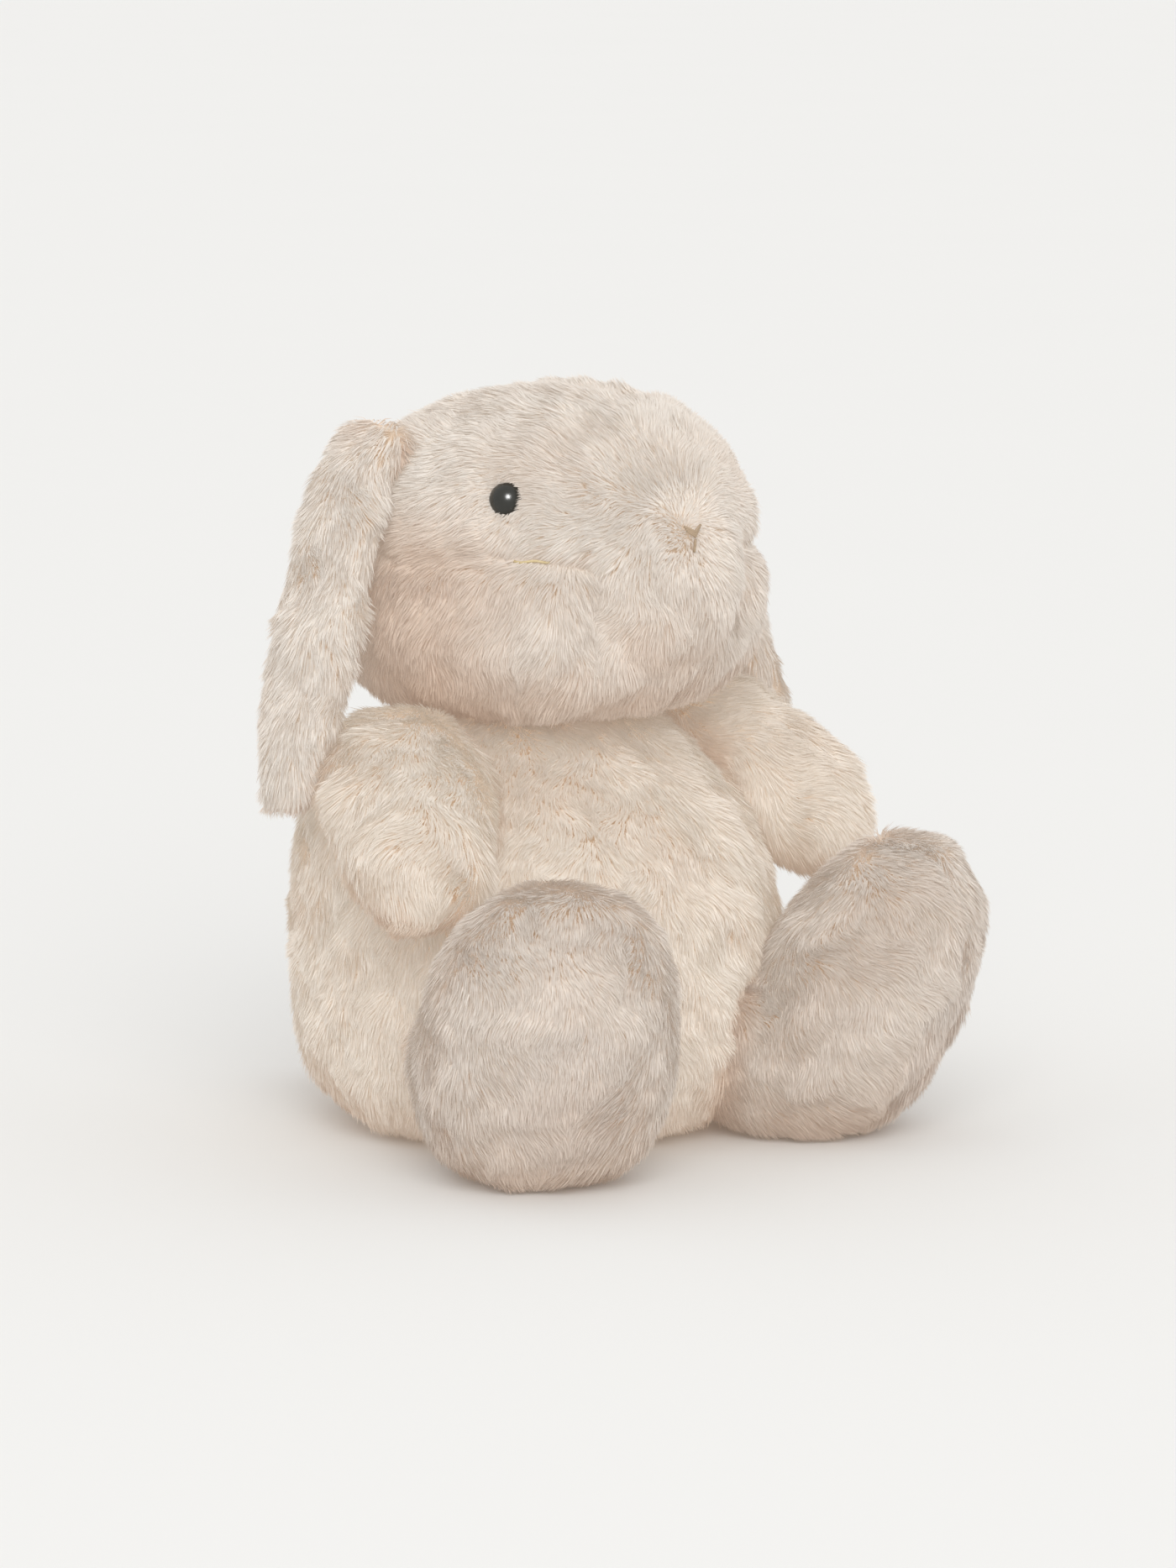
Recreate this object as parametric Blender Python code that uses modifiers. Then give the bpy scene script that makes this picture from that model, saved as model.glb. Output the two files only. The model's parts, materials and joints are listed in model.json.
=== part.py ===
"""A sitting lop-eared rabbit soft toy, modelled as the sewn and stuffed pieces it is made of.

The rabbit sits on a flat seat at z = 0 and faces -Y, so its right side is -X. Lengths are in metres.
Every skin is a pile fabric with the thickness of its backing and its fur, and each holds its own
stuffing. The limbs have closed tops that sit in dimples of the trunk, and turn there on their seams.
"""

import math

import bmesh
import bpy
from mathutils import Matrix, Vector

# Fabric and clearances
PILE = 0.007                 # thickness of the fur fabric, backing and fur together
FILL_GAP = 0.0006            # between a skin and the stuffing inside it
SEAM_GAP = 0.0003            # between two panels at their seam
LIMB_GAP = 0.0015            # between a limb's closed top and the dimple it turns in
SEAM_DEPTH = 0.012           # y of the trunk's side seams

# Trunk
TRUNK_HALF_WIDTH = 0.0930
BELLY_REACH = 0.0920         # from the upright axis to the front
BACK_REACH = 0.0945          # from the upright axis to the back
WAIST_Z = 0.072              # height of the widest ring
TRUNK_RISE = 0.082           # from the widest ring to the top
TRUNK_DROP = 0.076           # from the widest ring to the bottom before it is flattened
BELLY_POWER = 2.15           # roundness of the front above the waist, 2 being an ellipse
BACK_POWER = 2.6
SEAT_POWER = 3.4
PELLET_LEVEL = 0.024         # top of the pellet pouch in the seat
TRUNK_TOP = WAIST_Z + TRUNK_RISE

# Neck and head
NECK_PIVOT = Vector((0.0, -0.004, TRUNK_TOP - 0.0005))
NECK_RADIUS = 0.021
CHIN_GAP = 0.0035            # between the top of the trunk and the bottom of the head
HEAD_HALF_WIDTH = 0.0790
HEAD_HALF_LENGTH = 0.0795
HEAD_HALF_HEIGHT = 0.0645
HEAD_CENTRE = Vector((0.0, -0.011, TRUNK_TOP + CHIN_GAP + HEAD_HALF_HEIGHT))
CROWN_POWER = 2.45
JOWL_POWER = 3.1
HEAD_SEAM_DEPTH = 0.030      # y of the seam between face and back of the head

# Eyes, nose and mouth
EYE_AZIMUTH = 56.0           # degrees round from the nose
EYE_RISE = 0.0285            # height above the middle of the head
EYE_RADIUS = 0.0064
EYE_DEPTH = 0.0052           # from the pile's surface down to the flat back of the eye
POST_RADIUS = 0.0022
POST_LENGTH = 0.0120
WASHER_RADIUS = 0.0075
WASHER_THICKNESS = 0.0018
WASHER_SET = 0.0022          # between the inside of the skin and the washer
FIT_GAP = 0.0003             # round the post and round the eye
POCKET_GAP = 0.001           # round the washer in the filling
NOSE_RISE = 0.0125
NOSE_HALF_WIDTH = 0.0042
NOSE_HEIGHT = 0.0026         # from the middle of the V up to its ends
MOUTH_DROP = 0.0050
THREAD_RADIUS = 0.0007
THREAD_STAND = 0.0012        # from the head's surface to the middle of the thread

# Arms
SHOULDER = Vector((0.0720, -0.006, TRUNK_TOP - 0.0100))
PAW = SHOULDER + Vector((0.0285, -0.0490, -0.0330))
ARM_HALF_WIDTH = 0.0280
ARM_HALF_HEIGHT = 0.0235
ARM_END = 0.0180             # how far the arm runs past the shoulder point and the paw point
ARM_POWER = 2.5
ARM_OPENING = 0.45           # radius of the filling hole at the shoulder as a share of the half height
ARM_LIFT = 30                # degrees that the arm lifts

# Ears: the line that an ear follows, seen from the front. Each point is a distance out and a height
# above the middle of the head. The upper points are out past the side of the head, and the lower
# ones past the side of the arm. Then its half width at each point.
EAR_BY_HEAD = ((-0.0085, 0.0465), (-0.0005, 0.0415), (0.0060, 0.0285), (0.0120, 0.0095), (0.0180, -0.0165))
EAR_BY_ARM = ((0.0020, -0.0440), (0.0055, -0.0710), (0.0070, -0.0900))
EAR_HALF_WIDTHS = (0.0130, 0.0150, 0.0165, 0.0180, 0.0190, 0.0190, 0.0165, 0.0070)
EAR_DEPTH = 0.016            # y of the ear's middle line
EAR_CURL = 0.004             # how far its edges lean in towards the head
EAR_PANEL = 0.0055           # thickness of each of the two panels
EAR_STEPS = 11
EAR_COLUMNS = 4

# Legs: the side outline as distance out from the hip and height above the seat, then the width
HIP = Vector((0.054, -0.055, 0.0))
LEG_OUTLINE = (
    (-0.024, 0.040), (-0.016, 0.058), (0.002, 0.066), (0.018, 0.0715), (0.038, 0.0985),
    (0.060, 0.1205), (0.082, 0.119), (0.097, 0.094), (0.092, 0.062), (0.078, 0.030),
    (0.058, 0.004), (0.036, -0.002), (0.006, -0.002), (-0.013, 0.008), (-0.021, 0.022),
)
LEG_MIDDLE = (0.036, 0.050)
LEG_HALF_WIDTH = 0.0470
LEG_POWER = 2.5
LEG_SPLAY = 28.0             # degrees that each leg points outwards
LEG_SWING = (-12, 10)        # degrees in and out on the hip seam
SOLE_POINT = (0.083, 0.058)  # a point of the seam plane between leg and sole panel
SOLE_LEAN = 25.0             # degrees that the toe leans out past the heel
FOOT_PELLET_LEVEL = 0.020

# Tail and care label
TAIL_CENTRE = Vector((0.0, 0.1000, 0.0360))
TAIL_RADIUS = 0.0230
TAIL_SKIN = 0.006
LABEL_SIZE = (0.016, 0.0008, 0.026)
LABEL_PLACE = Vector((0.1005, SEAM_DEPTH, 0.0390))
LABEL_TILT = 6.0

# How many segments round and rings along each soft form has
TRUNK_GRID = (22, 14)
HEAD_GRID = (20, 12)
LEG_GRID = (20, 8)
ARM_GRID = (12, 8)
TAIL_GRID = (12, 8)
NECK_GRID = (16, 8)

CREAM = (0.74, 0.64, 0.54)
FILL_WHITE = (0.86, 0.86, 0.84)


# ---------------------------------------------------------------- scene and materials

def clear_scene():
    for obj in list(bpy.data.objects):
        bpy.data.objects.remove(obj, do_unlink=True)


def new_collection(name):
    collection = bpy.data.collections.new(name)
    bpy.context.scene.collection.children.link(collection)
    return collection


def material(name, colour, roughness, metallic=0.0):
    made = bpy.data.materials.new(name)
    made.use_nodes = True
    shader = made.node_tree.nodes["Principled BSDF"]
    shader.inputs["Base Color"].default_value = (*colour, 1.0)
    shader.inputs["Roughness"].default_value = roughness
    shader.inputs["Metallic"].default_value = metallic
    return made


# ---------------------------------------------------------------- shape rules

def rounded(angle, power):
    """Reach and rise at an angle of a quarter round that grows boxier with its power."""
    share = 2.0 / power
    rise = abs(math.sin(angle)) ** share
    return abs(math.cos(angle)) ** share, math.copysign(rise, math.sin(angle))


def blend(low, high, share):
    return low + (high - low) * share


def through(values, place):
    """A smooth curve through evenly spaced values, read at a place from 0 to len(values) - 1."""
    step = min(int(place), len(values) - 2)
    t = place - step
    before, start, end, after = (values[max(0, min(len(values) - 1, step + k))] for k in (-1, 0, 1, 2))
    return 0.5 * (2 * start + (end - before) * t
                  + (2 * before - 5 * start + 4 * end - after) * t ** 2
                  + (3 * start - before - 3 * end + after) * t ** 3)


def trunk_point(way):
    """The trunk's surface in a direction: a rounded belly, a fuller back and a flat seat."""
    latitude = math.asin(max(-1.0, min(1.0, way.z)))
    around = math.atan2(way.y, way.x)
    back = 0.5 + 0.5 * math.sin(around)
    above = way.z > 0
    power = blend(BELLY_POWER, BACK_POWER, back) if above else SEAT_POWER
    reach, rise = rounded(latitude, power)
    depth = blend(BELLY_REACH, BACK_REACH, back)
    height = WAIST_Z + rise * (TRUNK_RISE if above else TRUNK_DROP)
    return Vector((TRUNK_HALF_WIDTH * reach * math.cos(around), depth * reach * math.sin(around),
                   max(0.0, height)))


def head_point(way):
    """The head's surface in a direction: a loaf that is boxier at the jowls than at the crown."""
    latitude = math.asin(max(-1.0, min(1.0, way.z)))
    around = math.atan2(way.y, way.x)
    reach, rise = rounded(latitude, CROWN_POWER if way.z > 0 else JOWL_POWER)
    return HEAD_CENTRE + Vector((HEAD_HALF_WIDTH * reach * math.cos(around),
                                 HEAD_HALF_LENGTH * reach * math.sin(around),
                                 HEAD_HALF_HEIGHT * rise))


def head_surface(azimuth, height):
    """A point of the head's surface, its azimuth in degrees from the nose towards +X."""
    share = min(1.0, abs(height) / HEAD_HALF_HEIGHT)
    power = CROWN_POWER if height > 0 else JOWL_POWER
    reach = (1.0 - share ** power) ** (1.0 / power)
    turn = math.radians(azimuth)
    return HEAD_CENTRE + Vector((HEAD_HALF_WIDTH * reach * math.sin(turn),
                                 -HEAD_HALF_LENGTH * reach * math.cos(turn), height))


def arm_point(way):
    """An arm along local Z with its shoulder at the origin, a little flatter than it is wide."""
    length = (PAW - SHOULDER).length
    latitude = math.asin(max(-1.0, min(1.0, way.z)))
    around = math.atan2(way.y, way.x)
    reach, rise = rounded(latitude, ARM_POWER)
    along = 0.5 * length + rise * (0.5 * length + ARM_END)
    return Vector((ARM_HALF_WIDTH * reach * math.cos(around),
                   ARM_HALF_HEIGHT * reach * math.sin(around), along))


def leg_reach(angle):
    """Distance from the leg's middle point to its side outline, at an angle seen from the side."""
    marks = sorted((math.atan2(z - LEG_MIDDLE[1], u - LEG_MIDDLE[0]),
                    math.hypot(u - LEG_MIDDLE[0], z - LEG_MIDDLE[1])) for u, z in LEG_OUTLINE)
    turn = 2 * math.pi
    ring = [(a - turn, r) for a, r in marks] + marks + [(a + turn, r) for a, r in marks]
    for (a, r), (b, s) in zip(ring, ring[1:]):
        if a <= angle < b:
            share = (angle - a) / (b - a)
            return blend(r, s, share)
    return marks[0][1]


def leg_point(way):
    """A leg with its hip axis at local x = 0, pointing along local X, pillowed about its side outline."""
    latitude = math.asin(max(-1.0, min(1.0, way.z)))
    angle = math.atan2(way.y, way.x)
    spread = math.radians(9)
    radius = (leg_reach(angle - spread) + 2 * leg_reach(angle) + leg_reach(angle + spread)) / 4
    reach, rise = rounded(latitude, LEG_POWER)
    return Vector((LEG_MIDDLE[0] + radius * reach * math.cos(angle), LEG_HALF_WIDTH * rise,
                   max(0.0, LEG_MIDDLE[1] + radius * reach * math.sin(angle))))


def tail_point(way):
    return TAIL_CENTRE + TAIL_RADIUS * way


# ---------------------------------------------------------------- building blocks

def add_object(name, mesh, collection, finish=None, place=None):
    obj = bpy.data.objects.new(name, mesh)
    collection.objects.link(obj)
    if finish:
        mesh.materials.append(finish)
    if place:
        obj.matrix_world = place
    for polygon in mesh.polygons:
        polygon.use_smooth = True
    return obj


def round_mesh(name, point_of, segments, rings):
    """A ball whose points are moved to a surface rule."""
    ball = bmesh.new()
    bmesh.ops.create_uvsphere(ball, u_segments=segments, v_segments=rings, radius=1.0)
    for vertex in ball.verts:
        vertex.co = point_of(vertex.co.normalized())
    ball.normal_update()
    bmesh.ops.recalc_face_normals(ball, faces=ball.faces)
    mesh = bpy.data.meshes.new(name)
    ball.to_mesh(mesh)
    ball.free()
    return mesh


def box_mesh(name, low, high):
    box = bmesh.new()
    bmesh.ops.create_cube(box, size=1.0)
    size, middle = high - low, (low + high) / 2
    bmesh.ops.transform(box, matrix=Matrix.Translation(middle) @ Matrix.Diagonal((*size, 1.0)),
                        verts=box.verts)
    mesh = bpy.data.meshes.new(name)
    box.to_mesh(mesh)
    box.free()
    return mesh


def cylinder_mesh(name, radius, low, high, segments=14):
    """A cylinder along local Z."""
    rod = bmesh.new()
    bmesh.ops.create_cone(rod, cap_ends=True, segments=segments, radius1=radius, radius2=radius,
                          depth=high - low, matrix=Matrix.Translation((0, 0, (low + high) / 2)))
    mesh = bpy.data.meshes.new(name)
    rod.to_mesh(mesh)
    rod.free()
    return mesh


def as_cutter(obj):
    obj.hide_render = True
    obj.display_type = "WIRE"
    return obj


def move_out(obj, distance):
    swell = obj.modifiers.new("swell", "DISPLACE")
    swell.mid_level = 0.0
    swell.strength = distance


def make_skin(obj, thickness=PILE):
    wall = obj.modifiers.new("pile fabric", "SOLIDIFY")
    wall.thickness = thickness
    wall.offset = -1.0


def cut(obj, cutters, operation="DIFFERENCE"):
    for cutter in cutters:
        step = obj.modifiers.new(f"{operation.lower()} {cutter.name}", "BOOLEAN")
        step.operation = operation
        step.object = cutter


def turned(pivot, axis, degrees):
    """The motion of a piece that turns on a hinge."""
    turn = Matrix.Rotation(math.radians(degrees), 4, axis)
    return Matrix.Translation(pivot) @ turn @ Matrix.Translation(-pivot)


def thread(name, points, collection, finish):
    """A stitched thread: a round wire with closed ends."""
    curve = bpy.data.curves.new(name, "CURVE")
    curve.dimensions = "3D"
    curve.bevel_depth = THREAD_RADIUS
    curve.bevel_resolution = 1
    curve.use_fill_caps = True
    line = curve.splines.new("POLY")
    line.points.add(len(points) - 1)
    for spot, point in zip(line.points, points):
        spot.co = (*point, 1.0)
    curve.materials.append(finish)
    obj = bpy.data.objects.new(name, curve)
    collection.objects.link(obj)
    return obj


# ---------------------------------------------------------------- limbs

def mirror_x(vector, side):
    return Vector((side * vector.x, vector.y, vector.z))


def arm_frame(side):
    """Place of an arm: local Z runs from the shoulder to the paw, and local X lies level."""
    along = (mirror_x(PAW, side) - mirror_x(SHOULDER, side)).normalized()
    level = Vector((0, 0, 1)).cross(along).normalized()
    up = along.cross(level)
    turn = Matrix((level, up, along)).transposed().to_4x4()
    return Matrix.Translation(mirror_x(SHOULDER, side)) @ turn


def leg_frame(side):
    """Place of a leg: local X points from the hip axis to the toes."""
    turn = math.radians(-90 + side * LEG_SPLAY)
    return Matrix.Translation(mirror_x(HIP, side)) @ Matrix.Rotation(turn, 4, "Z")


def arm_cutters(word, side, grow, cutters):
    """The room an arm takes while it lifts, with a gap around it."""
    made = []
    for degrees in (0, 0.5 * ARM_LIFT):
        obj = add_object(f"cut_{word}_arm_{degrees:.0f}", round_mesh("arm", arm_point, *ARM_GRID), cutters,
                         place=turned(mirror_x(SHOULDER, side), "X", -degrees) @ arm_frame(side))
        move_out(obj, grow)
        made.append(as_cutter(obj))
    return made


def leg_cutters(word, side, grow, cutters):
    """The room a leg takes while it swings, with a gap around it."""
    made = []
    for degrees in (LEG_SWING[0], 0.5 * (LEG_SWING[0] + LEG_SWING[1]), LEG_SWING[1]):
        obj = add_object(f"cut_{word}_leg_{degrees:.0f}", round_mesh("leg", leg_point, *LEG_GRID), cutters,
                         place=turned(mirror_x(HIP, side), "Z", side * degrees) @ leg_frame(side))
        move_out(obj, grow)
        made.append(as_cutter(obj))
    return made


def build_arm(word, side, parts, cutters):
    fur = material(f"arm_{word}_fur", CREAM, 0.95)
    fill = material(f"arm_{word}_fill", FILL_WHITE, 1.0)
    place = arm_frame(side)
    opening = as_cutter(add_object(f"cut_{word}_arm_opening",
                                   cylinder_mesh("opening", ARM_HALF_HEIGHT * ARM_OPENING, -0.05, 0.0),
                                   cutters, place=place))
    skin = add_object(f"arm_{word}_skin", round_mesh("arm skin", arm_point, *ARM_GRID), parts, fur, place)
    make_skin(skin)
    cut(skin, [opening])
    stuffing = add_object(f"arm_{word}_stuffing", round_mesh("arm fill", arm_point, *ARM_GRID), parts, fill,
                          place)
    move_out(stuffing, -(PILE + FILL_GAP))


def build_leg(word, side, parts, cutters):
    """A leg skin, its sole panel, its stuffing and a pouch of pellets in the heel."""
    place = leg_frame(side)
    lean = math.radians(SOLE_LEAN)
    seam = (place @ Matrix.Translation((SOLE_POINT[0], 0, SOLE_POINT[1]))
            @ Matrix.Rotation(lean, 4, "Y"))
    reach = 0.2
    for name, low, high in (("sole_side", SEAM_GAP / 2, reach), ("leg_side", -reach, -SEAM_GAP / 2)):
        as_cutter(add_object(f"cut_{word}_{name}", box_mesh(name, Vector((low, -reach, -reach)),
                                                            Vector((high, reach, reach))),
                             cutters, place=seam))
    low_box = as_cutter(add_object(f"cut_{word}_heel",
                                   box_mesh("heel", Vector((-reach, -reach, -reach)),
                                            Vector((reach, reach, FOOT_PELLET_LEVEL))),
                                   cutters, place=place))
    high_box = as_cutter(add_object(f"cut_{word}_above_heel",
                                    box_mesh("above", Vector((-reach, -reach,
                                                              FOOT_PELLET_LEVEL + SEAM_GAP)),
                                             Vector((reach, reach, reach))), cutters, place=place))
    halves = {"skin": bpy.data.objects[f"cut_{word}_leg_side"],
              "sole": bpy.data.objects[f"cut_{word}_sole_side"]}
    for half, side_box in halves.items():
        fur = material(f"leg_{word}_{half}_fur", CREAM, 0.95)
        panel = add_object(f"leg_{word}_{half}", round_mesh("leg skin", leg_point, *LEG_GRID), parts, fur,
                           place)
        make_skin(panel)
        cut(panel, [side_box], "INTERSECT")
    for name, box, colour in (("stuffing", high_box, FILL_WHITE), ("pellets", low_box, (0.7, 0.7, 0.66))):
        inside = add_object(f"leg_{word}_{name}", round_mesh("leg fill", leg_point, *LEG_GRID), parts,
                            material(f"leg_{word}_{name}_fill", colour, 1.0), place)
        move_out(inside, -(PILE + FILL_GAP))
        cut(inside, [box], "INTERSECT")


# ---------------------------------------------------------------- ears

def ear_place(side, along, across):
    """A point of an ear: along from 0 at the root to 1 at the tip, across from -1 to 1."""
    line = [(HEAD_HALF_WIDTH + out, up) for out, up in EAR_BY_HEAD]
    line += [(SHOULDER.x + ARM_HALF_WIDTH + out, up) for out, up in EAR_BY_ARM]
    place = along * (len(line) - 1)
    x, up = (through([point[k] for point in line], place) for k in (0, 1))
    width = through(EAR_HALF_WIDTHS, place)
    lean = EAR_CURL * across ** 2 * min(1.0, 3 * along)
    return Vector((side * (x - lean), EAR_DEPTH + across * width, HEAD_CENTRE.z + up))


def build_ear(word, side, parts):
    """Two panels sewn back to back: the outer fur and the lining towards the head."""
    for name, offset, colour in (("outer", 1.0, CREAM), ("lining", -1.0, (0.72, 0.63, 0.55))):
        sheet = bmesh.new()
        bmesh.ops.create_grid(sheet, x_segments=EAR_STEPS, y_segments=EAR_COLUMNS, size=1.0)
        for vertex in sheet.verts:
            along, across = (vertex.co.x + 1) / 2, vertex.co.y
            vertex.co = ear_place(side, along, across)
        sheet.normal_update()
        level = HEAD_CENTRE.z + EAR_BY_HEAD[-1][1]
        middle = min(sheet.faces, key=lambda face: abs(face.calc_center_median().z - level))
        if middle.normal.x * side < 0:
            bmesh.ops.reverse_faces(sheet, faces=sheet.faces)
        mesh = bpy.data.meshes.new(f"ear {name}")
        hinge = ear_place(side, 0.0, 0.0)
        bmesh.ops.translate(sheet, verts=sheet.verts, vec=-hinge)
        sheet.to_mesh(mesh)
        sheet.free()
        panel = add_object(f"ear_{word}_{name}", mesh, parts, material(f"ear_{word}_{name}_fur", colour, 0.95),
                           Matrix.Translation(hinge))
        move_out(panel, offset * SEAM_GAP / 2)
        wall = panel.modifiers.new("panel", "SOLIDIFY")
        wall.thickness = EAR_PANEL
        wall.offset = offset


# ---------------------------------------------------------------- head

def eye_frame(side):
    """Place of an eye: local Z points out of the face, and the origin is on the pile's surface."""
    spot = head_surface(side * EYE_AZIMUTH, EYE_RISE)
    step = 0.5
    across = head_surface(side * EYE_AZIMUTH + step, EYE_RISE) - spot
    upwards = head_surface(side * EYE_AZIMUTH, EYE_RISE + 0.0005) - spot
    out = across.cross(upwards).normalized()
    level = Vector((0, 0, 1)).cross(out).normalized()
    return Matrix.Translation(spot) @ Matrix((level, out.cross(level), out)).transposed().to_4x4()


def build_eye(word, side, parts, cutters):
    """A domed eye on a ribbed post, held from the inside by a push-on washer."""
    place = eye_frame(side)
    gloss = material(f"eye_{word}_gloss", (0.012, 0.011, 0.010), 0.08)
    eye = bmesh.new()
    bmesh.ops.create_uvsphere(eye, u_segments=14, v_segments=8, radius=EYE_RADIUS)
    flat = bmesh.ops.bisect_plane(eye, geom=eye.verts[:] + eye.edges[:] + eye.faces[:],
                                  plane_co=(0, 0, 0), plane_no=(0, 0, -1), clear_outer=True)
    rim = [edge for edge in flat["geom_cut"] if isinstance(edge, bmesh.types.BMEdge)]
    bmesh.ops.contextual_create(eye, geom=rim)
    bmesh.ops.translate(eye, verts=eye.verts, vec=(0, 0, -EYE_DEPTH))
    eye.normal_update()
    bmesh.ops.recalc_face_normals(eye, faces=eye.faces)
    mesh = bpy.data.meshes.new("eye")
    eye.to_mesh(mesh)
    eye.free()
    obj = add_object(f"eye_{word}", mesh, parts, gloss, place)
    mesh.set_sharp_from_angle(angle=math.radians(40))
    back = -EYE_DEPTH
    post = as_cutter(add_object(f"join_{word}_post",
                                cylinder_mesh("post", POST_RADIUS, back - POST_LENGTH, back + 0.002, 12),
                                cutters, place=place))
    cut(obj, [post], "UNION")
    washer_top = -(PILE + WASHER_SET)
    washer = add_object(f"eye_washer_{word}",
                        cylinder_mesh("washer", WASHER_RADIUS, washer_top - WASHER_THICKNESS, washer_top),
                        parts, material(f"eye_washer_{word}_plastic", (0.85, 0.85, 0.82), 0.4), place)
    hole = as_cutter(add_object(f"cut_{word}_washer_hole",
                                cylinder_mesh("hole", POST_RADIUS + FIT_GAP, -0.03, 0.01, 12),
                                cutters, place=place))
    cut(washer, [hole])
    socket = as_cutter(add_object(f"cut_{word}_eye_socket",
                                  cylinder_mesh("socket", EYE_RADIUS + FIT_GAP, back - FIT_GAP, 0.012),
                                  cutters, place=place))
    pocket = as_cutter(add_object(f"cut_{word}_washer_pocket",
                                  cylinder_mesh("pocket", WASHER_RADIUS + POCKET_GAP,
                                                back - POST_LENGTH - POCKET_GAP, 0.0), cutters, place=place))
    return [socket, hole], pocket


def half_space(name, low, high, cutters):
    return as_cutter(add_object(name, box_mesh(name, low, high), cutters))


def build_head(parts, cutters, neck_cutter):
    fur = material("head_face_fur", CREAM, 0.95)
    back_fur = material("head_back_fur", CREAM, 0.95)
    holes, pockets = [], []
    for word, side in (("right", -1), ("left", 1)):
        through_skin, pocket = build_eye(word, side, parts, cutters)
        holes += through_skin
        pockets.append(pocket)
    far = 0.4
    face_box = half_space("cut_face_side", Vector((-far, -far, 0)),
                          Vector((far, HEAD_SEAM_DEPTH - SEAM_GAP / 2, far)), cutters)
    back_box = half_space("cut_head_back_side", Vector((-far, HEAD_SEAM_DEPTH + SEAM_GAP / 2, 0)),
                          Vector((far, far, far)), cutters)
    face = add_object("head_face_skin", round_mesh("head", head_point, *HEAD_GRID), parts, fur)
    make_skin(face)
    cut(face, [neck_cutter, *holes])
    cut(face, [face_box], "INTERSECT")
    rear = add_object("head_back_skin", round_mesh("head", head_point, *HEAD_GRID), parts, back_fur)
    make_skin(rear)
    cut(rear, [back_box], "INTERSECT")
    stuffing = add_object("head_stuffing", round_mesh("head fill", head_point, *HEAD_GRID), parts,
                          material("head_fill", FILL_WHITE, 1.0))
    move_out(stuffing, -(PILE + FILL_GAP))
    cut(stuffing, [neck_cutter, *pockets])


def build_face_threads(parts):
    """A small V of thread for the nose and one upright stitch below it."""
    silk = material("nose_thread", (0.42, 0.33, 0.26), 0.6)
    dark = material("mouth_thread", (0.42, 0.33, 0.26), 0.6)

    def on_face(x, rise):
        azimuth = math.degrees(math.asin(x / HEAD_HALF_LENGTH))
        spot = head_surface(azimuth, rise)
        away = (spot - HEAD_CENTRE).normalized()
        return spot + away * (THREAD_STAND + THREAD_RADIUS)

    steps = [-1.0, -0.5, 0.0, 0.5, 1.0]
    nose = [on_face(NOSE_HALF_WIDTH * s, NOSE_RISE + NOSE_HEIGHT * abs(s)) for s in steps]
    thread("nose_stitch", nose, parts, silk)
    start = 2 * THREAD_RADIUS + 2 * SEAM_GAP
    mouth = [on_face(0.0, NOSE_RISE - start - MOUTH_DROP * k / 2) for k in range(3)]
    thread("mouth_stitch", mouth, parts, dark)


# ---------------------------------------------------------------- trunk

def build_trunk(parts, cutters, neck_cutter):
    skin_cuts, fill_cuts = [neck_cutter], [neck_cutter]
    for word, side in (("right", -1), ("left", 1)):
        limb = arm_cutters(word, side, LIMB_GAP, cutters) + leg_cutters(word, side, LIMB_GAP, cutters)
        skin_cuts += limb
        fill_cuts += limb
    far = 0.3
    boxes = {
        "front": half_space("cut_trunk_front", Vector((-far, -far, -far)),
                            Vector((far, SEAM_DEPTH - SEAM_GAP / 2, far)), cutters),
        "back": half_space("cut_trunk_back", Vector((-far, SEAM_DEPTH + SEAM_GAP / 2, -far)),
                           Vector((far, far, far)), cutters),
    }
    for half, box in boxes.items():
        panel = add_object(f"body_{half}_skin", round_mesh("trunk", trunk_point, *TRUNK_GRID), parts,
                           material(f"body_{half}_fur", CREAM, 0.95))
        make_skin(panel)
        cut(panel, skin_cuts)
        cut(panel, [box], "INTERSECT")
    above = half_space("cut_above_pellets", Vector((-far, -far, PELLET_LEVEL + SEAM_GAP)),
                       Vector((far, far, far)), cutters)
    below = half_space("cut_below_fill", Vector((-far, -far, -far)), Vector((far, far, PELLET_LEVEL)), cutters)
    for name, box, colour in (("body_stuffing", above, FILL_WHITE), ("pellet_pouch", below, (0.7, 0.7, 0.66))):
        inside = add_object(name, round_mesh("trunk fill", trunk_point, *TRUNK_GRID), parts,
                            material(f"{name}_fill", colour, 1.0))
        move_out(inside, -(PILE + FILL_GAP))
        cut(inside, fill_cuts)
        cut(inside, [box], "INTERSECT")


def build_tail(parts, cutters):
    """A round puff sewn flat against the back."""
    trunk_room = as_cutter(add_object("cut_tail_seam", round_mesh("trunk", trunk_point, *TRUNK_GRID), cutters))
    move_out(trunk_room, LIMB_GAP / 2)
    skin = add_object("tail_skin", round_mesh("tail", tail_point, *TAIL_GRID), parts, material("tail_fur", CREAM, 0.95))
    make_skin(skin, TAIL_SKIN)
    cut(skin, [trunk_room])
    stuffing = add_object("tail_stuffing", round_mesh("tail fill", tail_point, *TAIL_GRID), parts,
                          material("tail_fill", FILL_WHITE, 1.0))
    move_out(stuffing, -(TAIL_SKIN + FILL_GAP))
    cut(stuffing, [trunk_room])


def build_label(parts):
    """A blank care label that stands out of the left side seam."""
    size = Vector(LABEL_SIZE)
    label = add_object("care_label", box_mesh("label", -size / 2, size / 2), parts,
                       material("label_satin", (0.9, 0.9, 0.88), 0.5),
                       Matrix.Translation(LABEL_PLACE) @ Matrix.Rotation(math.radians(LABEL_TILT), 4, "Z"))
    for polygon in label.data.polygons:
        polygon.use_smooth = False


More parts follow.
